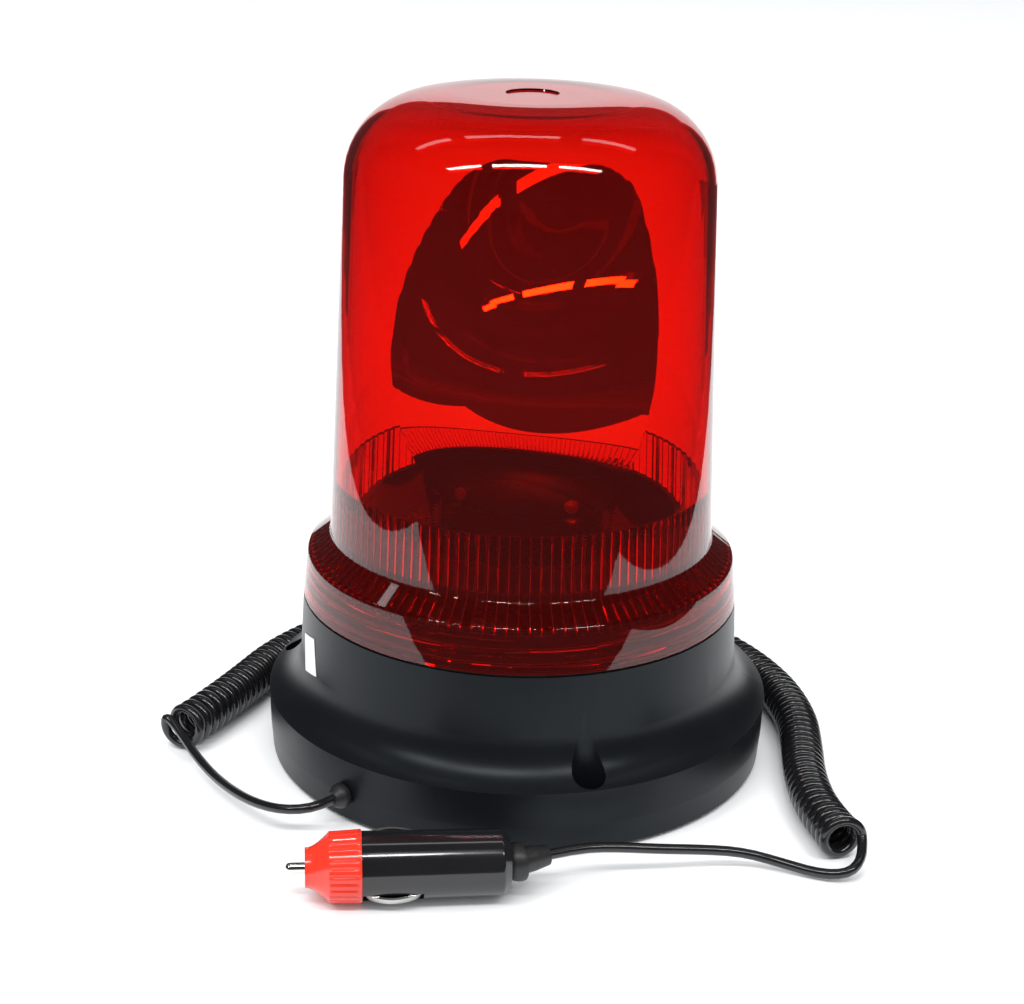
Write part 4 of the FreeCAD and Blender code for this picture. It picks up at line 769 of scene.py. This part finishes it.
# ---- plug ----------------------------------------------------------------------------------------
def make_collar(sizes):
    """The plug's front: a fluted collar, a hollow curve and a flat nose with a hole for the tip.

    The hollow curve is a parabola through a given point. Over the collar the radius is drawn in by
    depth |cos(n t / 2)|^8, a narrow groove n times round."""
    face_gap, front_wall, hollow_reach, hollow_radius = 0.0001, 0.0024, 0.0040, 0.0065
    plain_back, plain_front, points_per_flute = 0.0008, 0.0006, 12
    back, front = sizes.body_length + face_gap, sizes.body_length + sizes.collar_length
    nose = front + sizes.nose_length
    band = [(back + (front - back) * u,
             sizes.collar_radius + (sizes.collar_front - sizes.collar_radius) * u)
            for u in np.linspace(0, 1, 16)]
    a, b = np.array([front, sizes.collar_front]), np.array([nose, sizes.nose_radius])
    control = 2 * np.array([front + hollow_reach, hollow_radius]) - (a + b) / 2
    curve = [tuple((1 - u) ** 2 * a + 2 * u * (1 - u) * control + u * u * b)
             for u in np.linspace(0, 1, 14)[1:]]
    wall, thread_end = nose - front_wall, sizes.body_length + sizes.thread_length
    inner = [(nose, sizes.tip_hole), (wall, sizes.tip_hole), (wall, sizes.chamber_radius),
             (thread_end, sizes.chamber_radius), (thread_end, sizes.thread_radius),
             (back, sizes.thread_radius)]
    profile = np.array([(r, x) for x, r in band + curve + inner + band[:1]])
    columns = sizes.flutes * points_per_flute
    rows = lathe_rows(profile, columns)
    t = np.linspace(0, TAU, columns, endpoint=False)
    radius, along = profile[:, 0, None], profile[:, 1, None]
    fluted = ((radius > sizes.collar_front - 1e-6) & (along > back + plain_back)
              & (along < front - plain_front))
    groove = sizes.flute_depth * np.abs(np.cos(t * sizes.flutes / 2)) ** 8
    draw_in(rows, profile, np.where(fluted, groove, 0))
    lay = (Matrix.Translation((*PLUG_END, PLUG_HEIGHT)) @ Matrix.Rotation(PLUG_AZIMUTH, 4, "Z")
           @ Matrix.Rotation(math.radians(90), 4, "Y"))
    obj = surface("fluted_collar", move(rows, lay), sharp=math.radians(24))
    add_piece(obj, "base", "red_gloss", ("plug_nose",))


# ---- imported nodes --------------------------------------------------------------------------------
def dress_frame_nodes():
    """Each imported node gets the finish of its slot; the deck's black is a little greyer."""
    slots = {s["node"]: s["material_slot"] for s in frame["record"]["subparts"]}
    for node, obj in frame["nodes"].items():
        if obj.type == "MESH":
            dress(obj, "deck_abs" if node == "deck" else slots[node])


# ---- operators -----------------------------------------------------------------------------------
class BEACON_OT_finishes(bpy.types.Operator):
    """Make the finishes and give the frame's nodes theirs"""
    bl_idname = "beacon.finishes"
    bl_label = "Finishes"

    def execute(self, context):
        make_finishes(context.scene.beacon_colours)
        dress_frame_nodes()
        return {"FINISHED"}


class BEACON_OT_stage(bpy.types.Operator):
    """Set up the floor, lights and camera"""
    bl_idname = "beacon.stage"
    bl_label = "Stage"

    def execute(self, context):
        make_camera()
        make_stage(context.scene.beacon_colours)
        return {"FINISHED"}


class BEACON_OT_cord(bpy.types.Operator):
    """Lay the curly cord from the gland to the plug"""
    bl_idname = "beacon.cord"
    bl_label = "Cord"

    def execute(self, context):
        make_cord(context.scene.beacon_cord)
        return {"FINISHED"}


class BEACON_OT_lens(bpy.types.Operator):
    """Turn the ribbed dome"""
    bl_idname = "beacon.lens"
    bl_label = "Dome"

    def execute(self, context):
        make_lens(context.scene.beacon_lens)
        return {"FINISHED"}


class BEACON_OT_mirror(bpy.types.Operator):
    """Shape the turning mirror"""
    bl_idname = "beacon.mirror"
    bl_label = "Mirror"

    def execute(self, context):
        make_mirror(context.scene.beacon_mirror)
        return {"FINISHED"}


class BEACON_OT_lamp(bpy.types.Operator):
    """Blow the lamp and wind its filament"""
    bl_idname = "beacon.lamp"
    bl_label = "Lamp"

    def execute(self, context):
        make_lamp_glass()
        make_filament()
        return {"FINISHED"}


class BEACON_OT_collar(bpy.types.Operator):
    """Turn the plug's fluted collar"""
    bl_idname = "beacon.collar"
    bl_label = "Collar"

    def execute(self, context):
        make_collar(context.scene.beacon_collar)
        return {"FINISHED"}


class BEACON_OT_label(bpy.types.Operator):
    """Put the bare label on the neck"""
    bl_idname = "beacon.label"
    bl_label = "Label"

    def execute(self, context):
        make_label(context.scene.beacon_label)
        return {"FINISHED"}


OPERATORS = (BEACON_OT_finishes, BEACON_OT_stage, BEACON_OT_cord, BEACON_OT_lens, BEACON_OT_mirror,
             BEACON_OT_lamp, BEACON_OT_collar, BEACON_OT_label)
GROUPS = {"beacon_colours": BeaconColours, "beacon_cord": BeaconCordSizes, "beacon_lens": BeaconLensSizes,
          "beacon_mirror": BeaconMirrorSizes, "beacon_collar": BeaconCollarSizes,
          "beacon_label": BeaconLabelSizes}


class BEACON_PT_panel(bpy.types.Panel):
    """Lists the steps that build the beacon."""
    bl_label = "Beacon"
    bl_idname = "BEACON_PT_panel"
    bl_space_type = "VIEW_3D"
    bl_region_type = "UI"
    bl_category = "Beacon"

    def draw(self, context):
        for operator in OPERATORS:
            self.layout.operator(operator.bl_idname)


CLASSES = tuple(GROUPS.values()) + OPERATORS + (BEACON_PT_panel,)


def register():
    """Registers the classes and hangs the sizes and colours on the scene."""
    for cls in CLASSES:
        bpy.utils.register_class(cls)
    for name, group in GROUPS.items():
        setattr(bpy.types.Scene, name, bpy.props.PointerProperty(type=group))


def unregister():
    """Takes back what register did."""
    for name in GROUPS:
        delattr(bpy.types.Scene, name)
    for cls in reversed(CLASSES):
        bpy.utils.unregister_class(cls)


def main():
    """Registers the classes and builds everything in order."""
    register()
    for operator in OPERATORS:
        group, name = operator.bl_idname.split(".")
        getattr(getattr(bpy.ops, group), name)()


if __name__ == "__main__":
    main()
